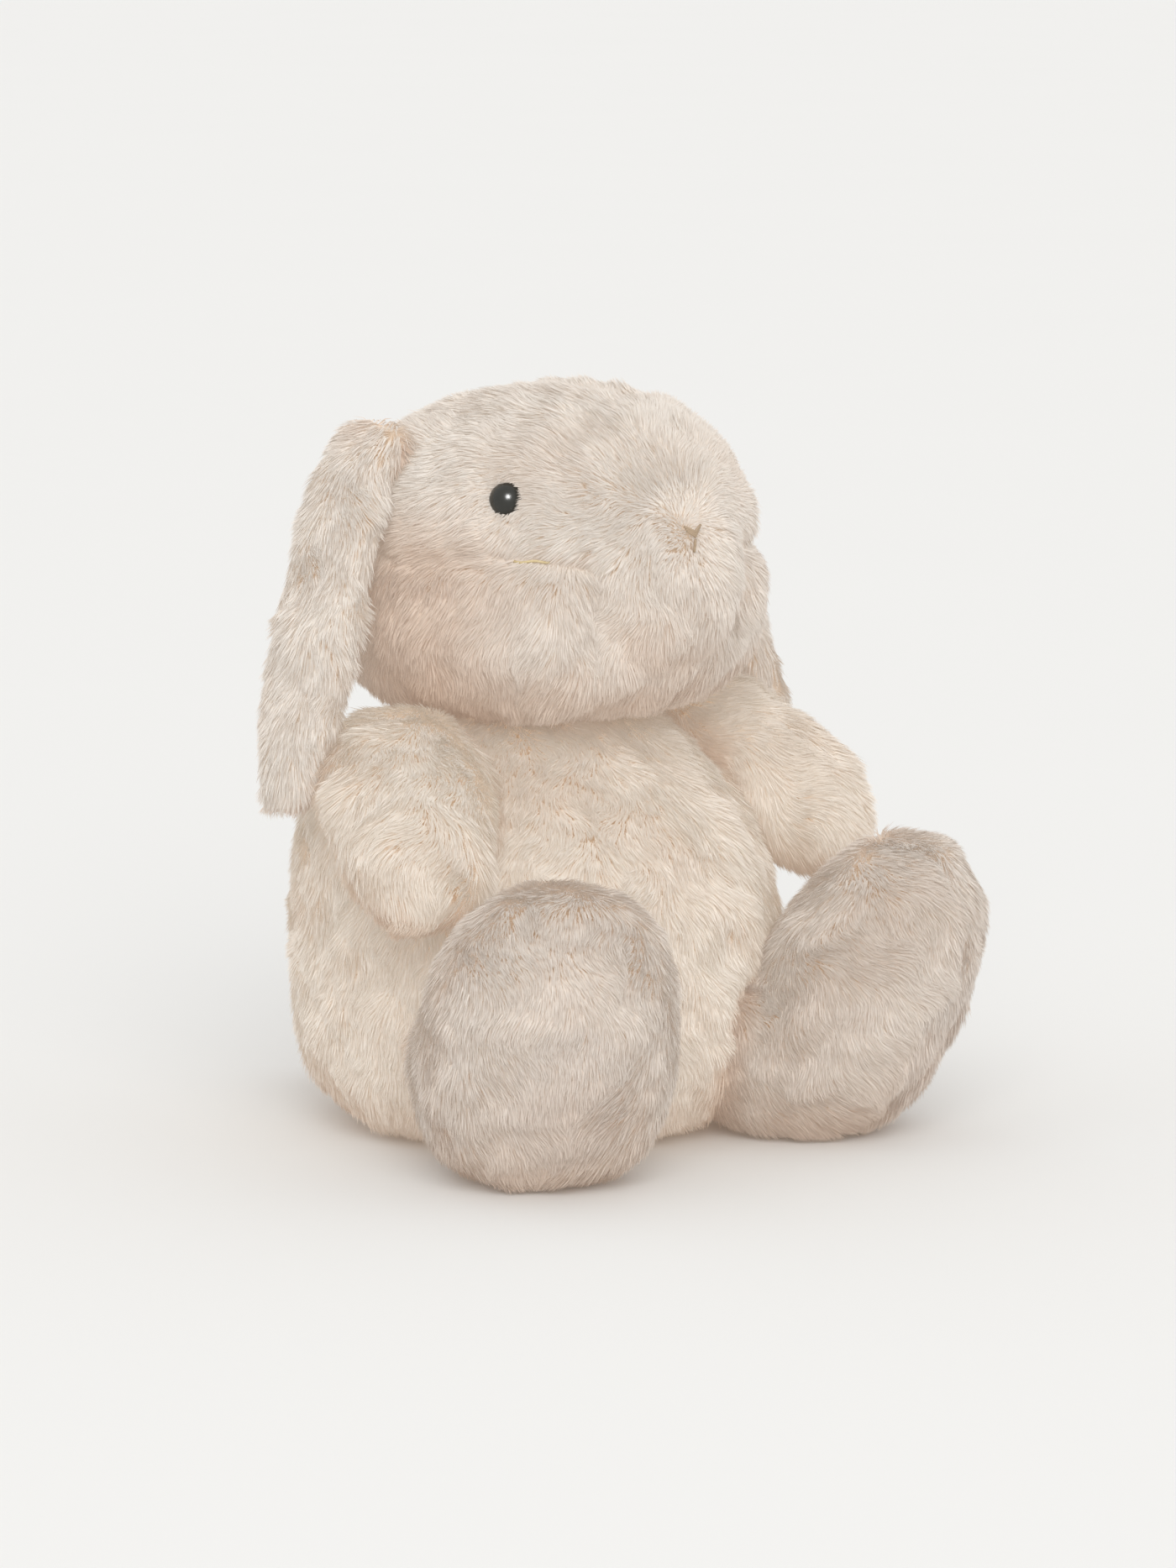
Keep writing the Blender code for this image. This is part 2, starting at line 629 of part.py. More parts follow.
def build_neck(parts):
    """The stuffing plug that fills the neck seam."""
    ball = round_mesh("neck", lambda way: NECK_RADIUS * way, *NECK_GRID)
    add_object("neck_plug", ball, parts, material("neck_fill", FILL_WHITE, 1.0),
               Matrix.Translation(NECK_PIVOT))


def main():
    clear_scene()
    parts = new_collection("stuffed_rabbit")
    cutters = new_collection("cutters")
    neck_cutter = as_cutter(add_object("cut_neck", round_mesh("neck room",
                                                              lambda way: (NECK_RADIUS + LIMB_GAP) * way,
                                                              *NECK_GRID),
                                       cutters, place=Matrix.Translation(NECK_PIVOT)))
    build_trunk(parts, cutters, neck_cutter)
    build_neck(parts)
    build_head(parts, cutters, neck_cutter)
    build_face_threads(parts)
    for word, side in (("right", -1), ("left", 1)):
        build_ear(word, side, parts)
        build_arm(word, side, parts, cutters)
        build_leg(word, side, parts, cutters)
    build_tail(parts, cutters)
    build_label(parts)


main()
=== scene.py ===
"""Visual model of a sitting lop-eared rabbit soft toy in long cream fur.

Each stuffed form is a padded skin, puffed out by a cloth simulation, and carries a coat of combed and
clumped hairs. The head has jowls, a muzzle and the creases that the pulled threads leave, glossy eyes
set into the fur and a small stitched nose. Every piece rides on the body it is sewn to.
"""

from __future__ import annotations

import json
import logging
import math
from dataclasses import dataclass, field
from enum import Enum
from typing import Callable, Iterable, Sequence

import bmesh
import bpy
import numpy as np
from mathutils import Matrix, Vector
from mathutils.bvhtree import BVHTree

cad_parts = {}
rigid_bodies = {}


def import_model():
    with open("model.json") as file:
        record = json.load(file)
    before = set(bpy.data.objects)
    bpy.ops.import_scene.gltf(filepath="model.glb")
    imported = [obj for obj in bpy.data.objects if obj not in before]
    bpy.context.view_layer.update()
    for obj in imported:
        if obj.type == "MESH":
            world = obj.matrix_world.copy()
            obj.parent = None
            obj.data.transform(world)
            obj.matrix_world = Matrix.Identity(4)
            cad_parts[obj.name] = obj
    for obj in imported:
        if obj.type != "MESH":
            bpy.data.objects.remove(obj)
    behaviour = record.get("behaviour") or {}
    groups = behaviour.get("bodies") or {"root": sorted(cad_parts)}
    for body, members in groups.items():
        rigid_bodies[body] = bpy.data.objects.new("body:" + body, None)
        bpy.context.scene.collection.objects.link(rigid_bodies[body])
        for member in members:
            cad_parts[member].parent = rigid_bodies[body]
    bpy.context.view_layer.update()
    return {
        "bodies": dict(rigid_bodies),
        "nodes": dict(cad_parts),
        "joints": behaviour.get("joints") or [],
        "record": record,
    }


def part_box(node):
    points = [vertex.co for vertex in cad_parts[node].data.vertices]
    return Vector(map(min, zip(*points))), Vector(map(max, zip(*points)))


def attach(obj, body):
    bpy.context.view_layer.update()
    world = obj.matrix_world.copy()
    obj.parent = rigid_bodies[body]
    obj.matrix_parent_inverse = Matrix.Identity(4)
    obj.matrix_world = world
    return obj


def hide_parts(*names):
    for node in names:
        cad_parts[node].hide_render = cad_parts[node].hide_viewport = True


LOG = logging.getLogger("rabbit")
Array = np.ndarray
Rule = Callable[[Vector], Vector]
Sides = (("right", -1), ("left", 1))
UP = Vector((0.0, 0.0, 1.0))
BAKE_MAP = "OFBake"
MOST_TRIANGLES = 190_000
ROOT_DEPTH = 0.0006
FLOOR_GAP = 0.0006


class Flow(Enum):
    """How the hair of a form is combed."""

    FROM_NOSE = "from the nose over the head"
    DOWN = "down the trunk"
    ALONG = "along a limb to its end"
    OUT = "outwards on every side"


# ------------------------------------------------------------------ finishes


def linear(red: int, green: int, blue: int) -> tuple[float, float, float, float]:
    """A shader colour from the 0 to 255 values of a screen colour.

    Args:
        red: Red, 0 to 255.
        green: Green, 0 to 255.
        blue: Blue, 0 to 255.

    Returns:
        The colour with full alpha.
    """
    def channel(value: int) -> float:
        """One channel without its screen curve."""
        share = value / 255
        return share / 12.92 if share <= 0.04045 else ((share + 0.055) / 1.055) ** 2.4
    return channel(red), channel(green), channel(blue), 1.0


def group_socket(group: bpy.types.NodeTree, name: str, way: str, kind: str) -> None:
    """Adds one socket to a shader node group."""
    group.interface.new_socket(name=name, in_out=way, socket_type=kind)


def hair_colour_group() -> bpy.types.NodeTree:
    """The colour of hair from its own map, with tone and painted shade across and root to tip upwards, and
    a painted glow: emission that stands in for the light its fibres pass on to each other.

    Returns:
        The shared node group, made on its first use.
    """
    made = bpy.data.node_groups.get("hair colour")
    if made:
        return made
    group = bpy.data.node_groups.new("hair colour", "ShaderNodeTree")
    for name, kind in (("Map", "NodeSocketVector"), ("Root", "NodeSocketColor"),
                       ("Tip", "NodeSocketColor"), ("Shaded", "NodeSocketColor"),
                       ("Root Painted Light", "NodeSocketColor"), ("Tip Painted Light", "NodeSocketColor")):
        group_socket(group, name, "INPUT", kind)
    group_socket(group, "Color", "OUTPUT", "NodeSocketColor")
    group_socket(group, "Painted Light", "OUTPUT", "NodeSocketColor")
    nodes, links = group.nodes, group.links
    source, target = nodes.new("NodeGroupInput"), nodes.new("NodeGroupOutput")
    split = nodes.new("ShaderNodeSeparateXYZ")
    links.new(source.outputs["Map"], split.inputs[0])
    rise = nodes.new("ShaderNodeMapRange")
    rise.interpolation_type = "SMOOTHSTEP"
    rise.inputs["From Max"].default_value = 0.75
    links.new(split.outputs["Y"], rise.inputs["Value"])
    body, whole, painted_light = (nodes.new("ShaderNodeMix") for _ in range(3))
    for mix in (body, whole, painted_light):
        mix.data_type = "RGBA"
    # painted light: the glow runs from the root's colour to the tip's
    links.new(rise.outputs["Result"], painted_light.inputs["Factor"])
    links.new(source.outputs["Root Painted Light"], painted_light.inputs["A"])
    links.new(source.outputs["Tip Painted Light"], painted_light.inputs["B"])
    links.new(painted_light.outputs["Result"], target.inputs["Painted Light"])
    links.new(rise.outputs["Result"], body.inputs["Factor"])
    links.new(source.outputs["Root"], body.inputs["A"])
    links.new(source.outputs["Tip"], body.inputs["B"])
    # tone with painted shade: low values mix towards the shaded colour
    links.new(split.outputs["X"], whole.inputs["Factor"])
    links.new(source.outputs["Shaded"], whole.inputs["A"])
    links.new(body.outputs["Result"], whole.inputs["B"])
    links.new(whole.outputs["Result"], target.inputs["Color"])
    return group


def mottle_group() -> bpy.types.NodeTree:
    """Two colours mixed by soft noise, with the same noise as a height for bump.

    Returns:
        The shared node group, made on its first use.
    """
    made = bpy.data.node_groups.get("mottle")
    if made:
        return made
    group = bpy.data.node_groups.new("mottle", "ShaderNodeTree")
    for name, kind in (("Place", "NodeSocketVector"), ("Scale", "NodeSocketFloat"),
                       ("Low", "NodeSocketColor"), ("High", "NodeSocketColor")):
        group_socket(group, name, "INPUT", kind)
    group_socket(group, "Color", "OUTPUT", "NodeSocketColor")
    group_socket(group, "Height", "OUTPUT", "NodeSocketFloat")
    nodes, links = group.nodes, group.links
    source, target = nodes.new("NodeGroupInput"), nodes.new("NodeGroupOutput")
    noise = nodes.new("ShaderNodeTexNoise")
    noise.inputs["Detail"].default_value = 5.0
    links.new(source.outputs["Place"], noise.inputs["Vector"])
    links.new(source.outputs["Scale"], noise.inputs["Scale"])
    mix = nodes.new("ShaderNodeMix")
    mix.data_type = "RGBA"
    links.new(noise.outputs["Fac"], mix.inputs["Factor"])
    links.new(source.outputs["Low"], mix.inputs["A"])
    links.new(source.outputs["High"], mix.inputs["B"])
    links.new(mix.outputs["Result"], target.inputs["Color"])
    links.new(noise.outputs["Fac"], target.inputs["Height"])
    return group


def new_material(name: str) -> tuple[bpy.types.Material, bpy.types.Node]:
    """An empty node material and its Principled shader.

    Args:
        name: The material's name.

    Returns:
        The material and its shader.
    """
    material = bpy.data.materials.new(name)
    material.use_nodes = True
    return material, material.node_tree.nodes["Principled BSDF"]


@dataclass(frozen=True)
class HairFinish:
    """The look of one kind of hair, root to tip, with a painted glow: emission that stands in for the
    light its fibres pass on to each other.
    """

    name: str
    root: tuple[float, float, float, float]
    tip: tuple[float, float, float, float]
    shaded: tuple[float, float, float, float]
    # painted light: glow colours at the root and the tip, in place of light passed on between fibres
    root_painted_light: tuple[float, float, float, float] = (0.27, 0.22, 0.18, 1.0)
    tip_painted_light: tuple[float, float, float, float] = (0.065, 0.055, 0.046, 1.0)
    roughness: float = 0.78
    sheen: float = 0.25

    def material(self) -> bpy.types.Material:
        """The finish as a material that reads the hair's own map.

        Returns:
            The material, made on its first use.
        """
        made = bpy.data.materials.get(self.name)
        if made:
            return made
        material, shader = new_material(self.name)
        nodes, links = material.node_tree.nodes, material.node_tree.links
        chart = nodes.new("ShaderNodeUVMap")
        chart.uv_map = BAKE_MAP
        colour = nodes.new("ShaderNodeGroup")
        colour.node_tree = hair_colour_group()
        for socket, value in (("Root", self.root), ("Tip", self.tip), ("Shaded", self.shaded),
                              ("Root Painted Light", self.root_painted_light), ("Tip Painted Light", self.tip_painted_light)):
            colour.inputs[socket].default_value = value
        links.new(chart.outputs["UV"], colour.inputs["Map"])
        links.new(colour.outputs["Color"], shader.inputs["Base Color"])
        shader.inputs["Roughness"].default_value = self.roughness
        shader.inputs["Specular IOR Level"].default_value = 0.15
        # painted light: the hair glows, most at the root, in place of light passed on between its fibres
        links.new(colour.outputs["Painted Light"], shader.inputs["Emission Color"])
        shader.inputs["Emission Strength"].default_value = 1.0
        shader.inputs["Sheen Weight"].default_value = self.sheen
        shader.inputs["Sheen Roughness"].default_value = 0.5
        return material


@dataclass(frozen=True)
class MottledFinish:
    """A woven, felted or plastic surface: two close colours in soft noise, with a fine bump."""

    name: str
    low: tuple[float, float, float, float]
    high: tuple[float, float, float, float]
    scale: float = 400.0
    roughness: float = 0.9
    bump: float = 0.4
    sheen: float = 0.0

    def material(self) -> bpy.types.Material:
        """The finish as a material on Object coordinates.

        Returns:
            The material, made on its first use.
        """
        made = bpy.data.materials.get(self.name)
        if made:
            return made
        material, shader = new_material(self.name)
        nodes, links = material.node_tree.nodes, material.node_tree.links
        place = nodes.new("ShaderNodeTexCoord")
        mottle = nodes.new("ShaderNodeGroup")
        mottle.node_tree = mottle_group()
        mottle.inputs["Scale"].default_value = self.scale
        mottle.inputs["Low"].default_value = self.low
        mottle.inputs["High"].default_value = self.high
        links.new(place.outputs["Object"], mottle.inputs["Place"])
        links.new(mottle.outputs["Color"], shader.inputs["Base Color"])
        bump = nodes.new("ShaderNodeBump")
        bump.inputs["Strength"].default_value = self.bump
        bump.inputs["Distance"].default_value = 0.0004
        links.new(mottle.outputs["Height"], bump.inputs["Height"])
        links.new(bump.outputs["Normal"], shader.inputs["Normal"])
        shader.inputs["Roughness"].default_value = self.roughness
        shader.inputs["Sheen Weight"].default_value = self.sheen
        return material


@dataclass(frozen=True)
class GlossFinish:
    """Polished dark plastic."""

    name: str
    colour: tuple[float, float, float, float]
    roughness: float = 0.10

    def material(self) -> bpy.types.Material:
        """The finish as a material, with faint swirls in its gloss.

        Returns:
            The material, made on its first use.
        """
        made = bpy.data.materials.get(self.name)
        if made:
            return made
        material, shader = new_material(self.name)
        nodes, links = material.node_tree.nodes, material.node_tree.links
        place = nodes.new("ShaderNodeTexCoord")
        noise = nodes.new("ShaderNodeTexNoise")
        noise.inputs["Scale"].default_value = 260.0
        links.new(place.outputs["Object"], noise.inputs["Vector"])
        rub = nodes.new("ShaderNodeMapRange")
        rub.inputs["To Min"].default_value = self.roughness * 0.7
        rub.inputs["To Max"].default_value = self.roughness * 1.3
        links.new(noise.outputs["Fac"], rub.inputs["Value"])
        links.new(rub.outputs["Result"], shader.inputs["Roughness"])
        shader.inputs["Base Color"].default_value = self.colour
        shader.inputs["Specular IOR Level"].default_value = 0.25
        return material


COAT_HAIR = HairFinish("cream_hair", linear(213, 203, 190), linear(219, 214, 208), linear(198, 166, 140),
                       (0.29, 0.245, 0.203, 1.0), (0.106, 0.095, 0.083, 1.0))
# painted light: a lighter copy of the same cream hair, for the trunk and arms
LIT_BODY_HAIR = HairFinish("lit_body_hair", linear(221, 210, 197), linear(227, 221, 213), linear(208, 177, 151),
                       (0.30, 0.252, 0.206, 1.0), (0.110, 0.097, 0.082, 1.0))
# painted shade: a darker copy of the same cream hair, for the legs
SHADED_LEG_HAIR = HairFinish("shaded_leg_hair", linear(207, 195, 182), linear(213, 206, 199), linear(194, 163, 138),
                      (0.29, 0.24, 0.197, 1.0), (0.092, 0.080, 0.068, 1.0))
SOLE_HAIR = HairFinish("sole_hair", linear(205, 193, 180), linear(211, 205, 199), linear(193, 162, 138),
                       (0.29, 0.24, 0.197, 1.0), (0.090, 0.079, 0.068, 1.0))
BACKING = MottledFinish("pile_backing", linear(226, 208, 187), linear(230, 214, 196), 350.0, sheen=0.2)
CHEEK_THREAD = MottledFinish("cheek_thread", linear(196, 176, 130), linear(214, 196, 152), 900.0, 0.6)
NOSE_THREAD = MottledFinish("nose_thread", linear(158, 136, 112), linear(182, 160, 134), 900.0, 0.7)
SATIN = MottledFinish("label_satin", linear(238, 237, 232), linear(248, 247, 244), 600.0, 0.45)
WASHER = MottledFinish("washer_plastic", linear(226, 224, 214), linear(236, 234, 226), 200.0, 0.4)
EYE_GLOSS = GlossFinish("eye_gloss", (0.003, 0.0025, 0.002, 1.0))
FLOOR_FINISH = MottledFinish("studio_floor", linear(236, 236, 235), linear(237, 237, 236), 3.0, 1.0, 0.0)


# ------------------------------------------------------------------ mesh helpers


def link_mesh(name: str, mesh: bpy.types.Mesh, finish: bpy.types.Material) -> bpy.types.Object:
    """Puts a mesh in the scene as an object at the origin.

    Args:
        name: The piece's name.
        mesh: Its mesh, with its place in it.
        finish: Its material.

    Returns:
        The new object.
    """
    obj = bpy.data.objects.new(name, mesh)
    bpy.context.scene.collection.objects.link(obj)
    mesh.materials.clear()
    mesh.materials.append(finish)
    return obj


def ball_mesh(name: str, rule: Rule, segments: int, rings: int) -> bpy.types.Mesh:
    """A closed ball whose points are moved to a surface rule.

    Args:
        name: The mesh's name.
        rule: Gives the surface's point in a direction.
        segments: Faces round the ball.
        rings: Faces from pole to pole.

    Returns:
        The mesh.
    """
    ball = bmesh.new()
    bmesh.ops.create_uvsphere(ball, u_segments=segments, v_segments=rings, radius=1.0)
    for vertex in ball.verts:
        vertex.co = rule(vertex.co.normalized())
    ball.normal_update()
    bmesh.ops.recalc_face_normals(ball, faces=ball.faces)
    mesh = bpy.data.meshes.new(name)
    ball.to_mesh(mesh)
    ball.free()
    return mesh


def joined_nodes(name: str, nodes: Iterable[str], objects: dict[str, bpy.types.Object]) -> bpy.types.Mesh:
    """A merged copy of several nodes' meshes.

    Args:
        name: The new mesh's name.
        nodes: The nodes to copy.
        objects: All nodes by name.

    Returns:
        One mesh with every node's shell in it.
    """
    whole = bmesh.new()
    for node in nodes:
        whole.from_mesh(objects[node].data)
    bmesh.ops.remove_doubles(whole, verts=whole.verts, dist=1e-6)
    mesh = bpy.data.meshes.new(name)
    whole.to_mesh(mesh)
    whole.free()
    return mesh


def apply_modifiers(obj: bpy.types.Object) -> None:
    """Turns what the modifiers make into the object's own mesh.

    Args:
        obj: The object.
    """
    graph = bpy.context.evaluated_depsgraph_get()
    done = bpy.data.meshes.new_from_object(obj.evaluated_get(graph))
    old = obj.data
    obj.modifiers.clear()
    obj.data = done
    bpy.data.meshes.remove(old)


def remesh(obj: bpy.types.Object, voxel: float, smooth: int) -> None:
    """Closes a shape into one even skin and smooths it.

    Args:
        obj: The object.
        voxel: The edge of a voxel.
        smooth: Rounds of smoothing.
    """
    step = obj.modifiers.new("even", "REMESH")
    step.mode = "VOXEL"
    step.voxel_size = voxel
    ease = obj.modifiers.new("ease", "SMOOTH")
    ease.iterations = smooth
    ease.factor = 0.5
    apply_modifiers(obj)


def puff(obj: bpy.types.Object, pressure: float, cap: float, frames: int = 20) -> None:
    """Fills a closed skin by cloth simulation, with a limit on how far a point may go.

    Args:
        obj: The closed skin.
        pressure: How hard the filling pushes.
        cap: The furthest that a point may move.
        frames: Length of the simulation.
    """
    scene = bpy.context.scene
    start = points_of(obj.data)
    cloth = obj.modifiers.new("filling", "CLOTH")
    settings = cloth.settings
    settings.quality = 5
    settings.mass = 0.3
    settings.tension_stiffness = settings.compression_stiffness = 25.0
    settings.shear_stiffness = 8.0
    settings.bending_stiffness = 0.6
    settings.use_pressure = True
    settings.uniform_pressure_force = pressure
    settings.effector_weights.gravity = 0.0
    cloth.point_cache.frame_start = 1
    cloth.point_cache.frame_end = frames
    for frame in range(1, frames + 1):
        scene.frame_set(frame)
    apply_modifiers(obj)
    scene.frame_set(1)
    moved = points_of(obj.data) - start
    far = np.linalg.norm(moved, axis=1, keepdims=True)
    moved *= np.minimum(1.0, cap / np.maximum(far, 1e-9))
    set_points(obj.data, start + moved)


def points_of(mesh: bpy.types.Mesh) -> Array:
    """The mesh's points as an array of rows.

    Args:
        mesh: The mesh.

    Returns:
        The points, a row each.
    """
    flat = np.empty(len(mesh.vertices) * 3, np.float32)
    mesh.vertices.foreach_get("co", flat)
    return flat.reshape(-1, 3).astype(np.float64)


def set_points(mesh: bpy.types.Mesh, points: Array) -> None:
    """Moves the mesh's points."""
    mesh.vertices.foreach_set("co", points.astype(np.float32).ravel())
    mesh.update()


def normals_of(mesh: bpy.types.Mesh) -> Array:
    """The mesh's smooth point normals as an array of rows.

    Args:
        mesh: The mesh.

    Returns:
        The normals, a row each.
    """
    flat = np.empty(len(mesh.vertices) * 3, np.float32)
    mesh.vertex_normals.foreach_get("vector", flat)
    return flat.reshape(-1, 3).astype(np.float64)


def sink(mesh: bpy.types.Mesh, depth: float) -> None:
    """Moves a skin's points inwards, and keeps them above the floor.

    Args:
        mesh: The mesh.
        depth: How far inwards.
    """
    points = points_of(mesh) - normals_of(mesh) * depth
    points[:, 2] = np.maximum(points[:, 2], FLOOR_GAP)
    set_points(mesh, points)


def unit(rows: Array) -> Array:
    """Rows scaled to length one."""
    return rows / np.maximum(np.linalg.norm(rows, axis=1, keepdims=True), 1e-12)


def ramp(values: Array, low: float, high: float) -> Array:
    """A smooth step from 0 at low to 1 at high."""
    share = np.clip((values - low) / (high - low), 0.0, 1.0)
    return share * share * (3 - 2 * share)


def bump(values: Array, middle: float, reach: float) -> Array:
    """A bell that is 1 at the middle and fades over its reach."""
    return np.exp(-((values - middle) / reach) ** 2)


# ------------------------------------------------------------------ hair


@dataclass
class Ripple:
    """Smooth pseudo-random waves through space, for hair that drifts and parts."""

    seed: int
    wavelength: float
    waves: int = 5

    def at(self, places: Array) -> Array:
        """A value near -1 to 1 at each place.

        Args:
            places: The places, a row each.

        Returns:
            The values, one for each place.
        """
        rng = np.random.default_rng(self.seed)
        ways = unit(rng.normal(size=(self.waves, 3))) * (2 * math.pi / self.wavelength)
        ways *= rng.uniform(0.6, 1.5, size=(self.waves, 1))
        phases = rng.uniform(0, 2 * math.pi, size=self.waves)
        total = sum(np.sin(places @ way + phase) for way, phase in zip(ways, phases))
        return total / math.sqrt(self.waves)


@dataclass
class Skin:
    """A finished skin surface that hair can be planted on."""

    mesh: bpy.types.Mesh
    deepest: float = 1.0

    def __post_init__(self) -> None:
        """Prepares the arrays and the search tree."""
        self.mesh.calc_loop_triangles()
        corners = np.empty(len(self.mesh.loop_triangles) * 3, np.int32)
        self.mesh.loop_triangles.foreach_get("vertices", corners)
        self.corners = corners.reshape(-1, 3)
        self.points = points_of(self.mesh)
        self.normals = normals_of(self.mesh)
        tree_points = [Vector(point) for point in self.points]
        self.tree = BVHTree.FromPolygons(tree_points, self.corners.tolist())
        self.recess = np.zeros(len(self.points))
        self.buried = np.zeros(len(self.points))

    def feel(self, others: Sequence[Skin], reach: float) -> None:
        """Measures how close each point is to other skins, and how deep it lies inside them.

        Args:
            others: The skins round about.
            reach: The distance at which another skin stops counting.
        """
        for other in others:
            low, high = other.points.min(axis=0) - reach, other.points.max(axis=0) + reach
            for index in np.nonzero(((self.points > low) & (self.points < high)).all(axis=1))[0]:
                place = Vector(self.points[index])
                near, normal, _, gap = other.tree.find_nearest(place, reach)
                if near is None:
                    continue
                if (place - near).dot(normal) < -0.7 * gap and gap < other.deepest:
                    self.recess[index] = 1.0
                    self.buried[index] = max(self.buried[index], gap)
                else:
                    self.recess[index] = max(self.recess[index], 1.0 - gap / reach)

    def plant(self, per_mm2: float, rng: np.random.Generator) -> tuple[Array, Array, Array, Array]:
        """Random roots spread evenly over the skin.

        Args:
            per_mm2: Hairs on each square millimetre.
            rng: The seeded source of chance.

        Returns:
            The roots, and the skin's normals, recess and buried depth there.
        """
        first, second, third = (self.points[self.corners[:, k]] for k in range(3))
        areas = np.linalg.norm(np.cross(second - first, third - first), axis=1) / 2
        count = int(areas.sum() * 1e6 * per_mm2)
        chosen = self.corners[rng.choice(len(areas), size=count, p=areas / areas.sum())]
        u, v = rng.random((2, count))
        over = u + v > 1
        u, v = np.where(over, 1 - u, u), np.where(over, 1 - v, v)
        shares = np.stack([1 - u - v, u, v], axis=1)[:, :, None]
        roots = (self.points[chosen] * shares).sum(axis=1)
        normals = unit((self.normals[chosen] * shares).sum(axis=1))
        recess = (self.recess[chosen] * shares[:, :, 0]).sum(axis=1)
        buried = (self.buried[chosen] * shares[:, :, 0]).sum(axis=1)
        return roots, normals, recess, buried


@dataclass
class Strands:
    """Hairs as root, bend and tip, with the skin's normal, a width and a tone with painted shade for each.
    """

    roots: Array
    bends: Array
    tips: Array
    normals: Array
    widths: Array
    tones_with_shade: Array

    def part(self, chosen: Array) -> Strands:
        """Some of the hairs."""
        return Strands(*(getattr(self, name)[chosen] for name in
                         ("roots", "bends", "tips", "normals", "widths", "tones_with_shade")))


def leaf_template() -> tuple[Array, list[list[int]]]:
    """One flat hair: two triangles, pointed at the root and at the tip and widest in the middle.

    Returns:
        Its points, with the share across in x and the share along in y, and its faces.
    """
    leaf = bmesh.new()
    bmesh.ops.create_circle(leaf, cap_ends=True, segments=4, radius=0.5)
    bmesh.ops.connect_verts(leaf, verts=[vertex for vertex in leaf.verts if abs(vertex.co.x) > 0.25])
    leaf.verts.index_update()
    points = np.array([(vertex.co.x, vertex.co.y + 0.5) for vertex in leaf.verts])
    faces = [[vertex.index for vertex in face.verts] for face in leaf.faces]
    leaf.free()
    return points, faces


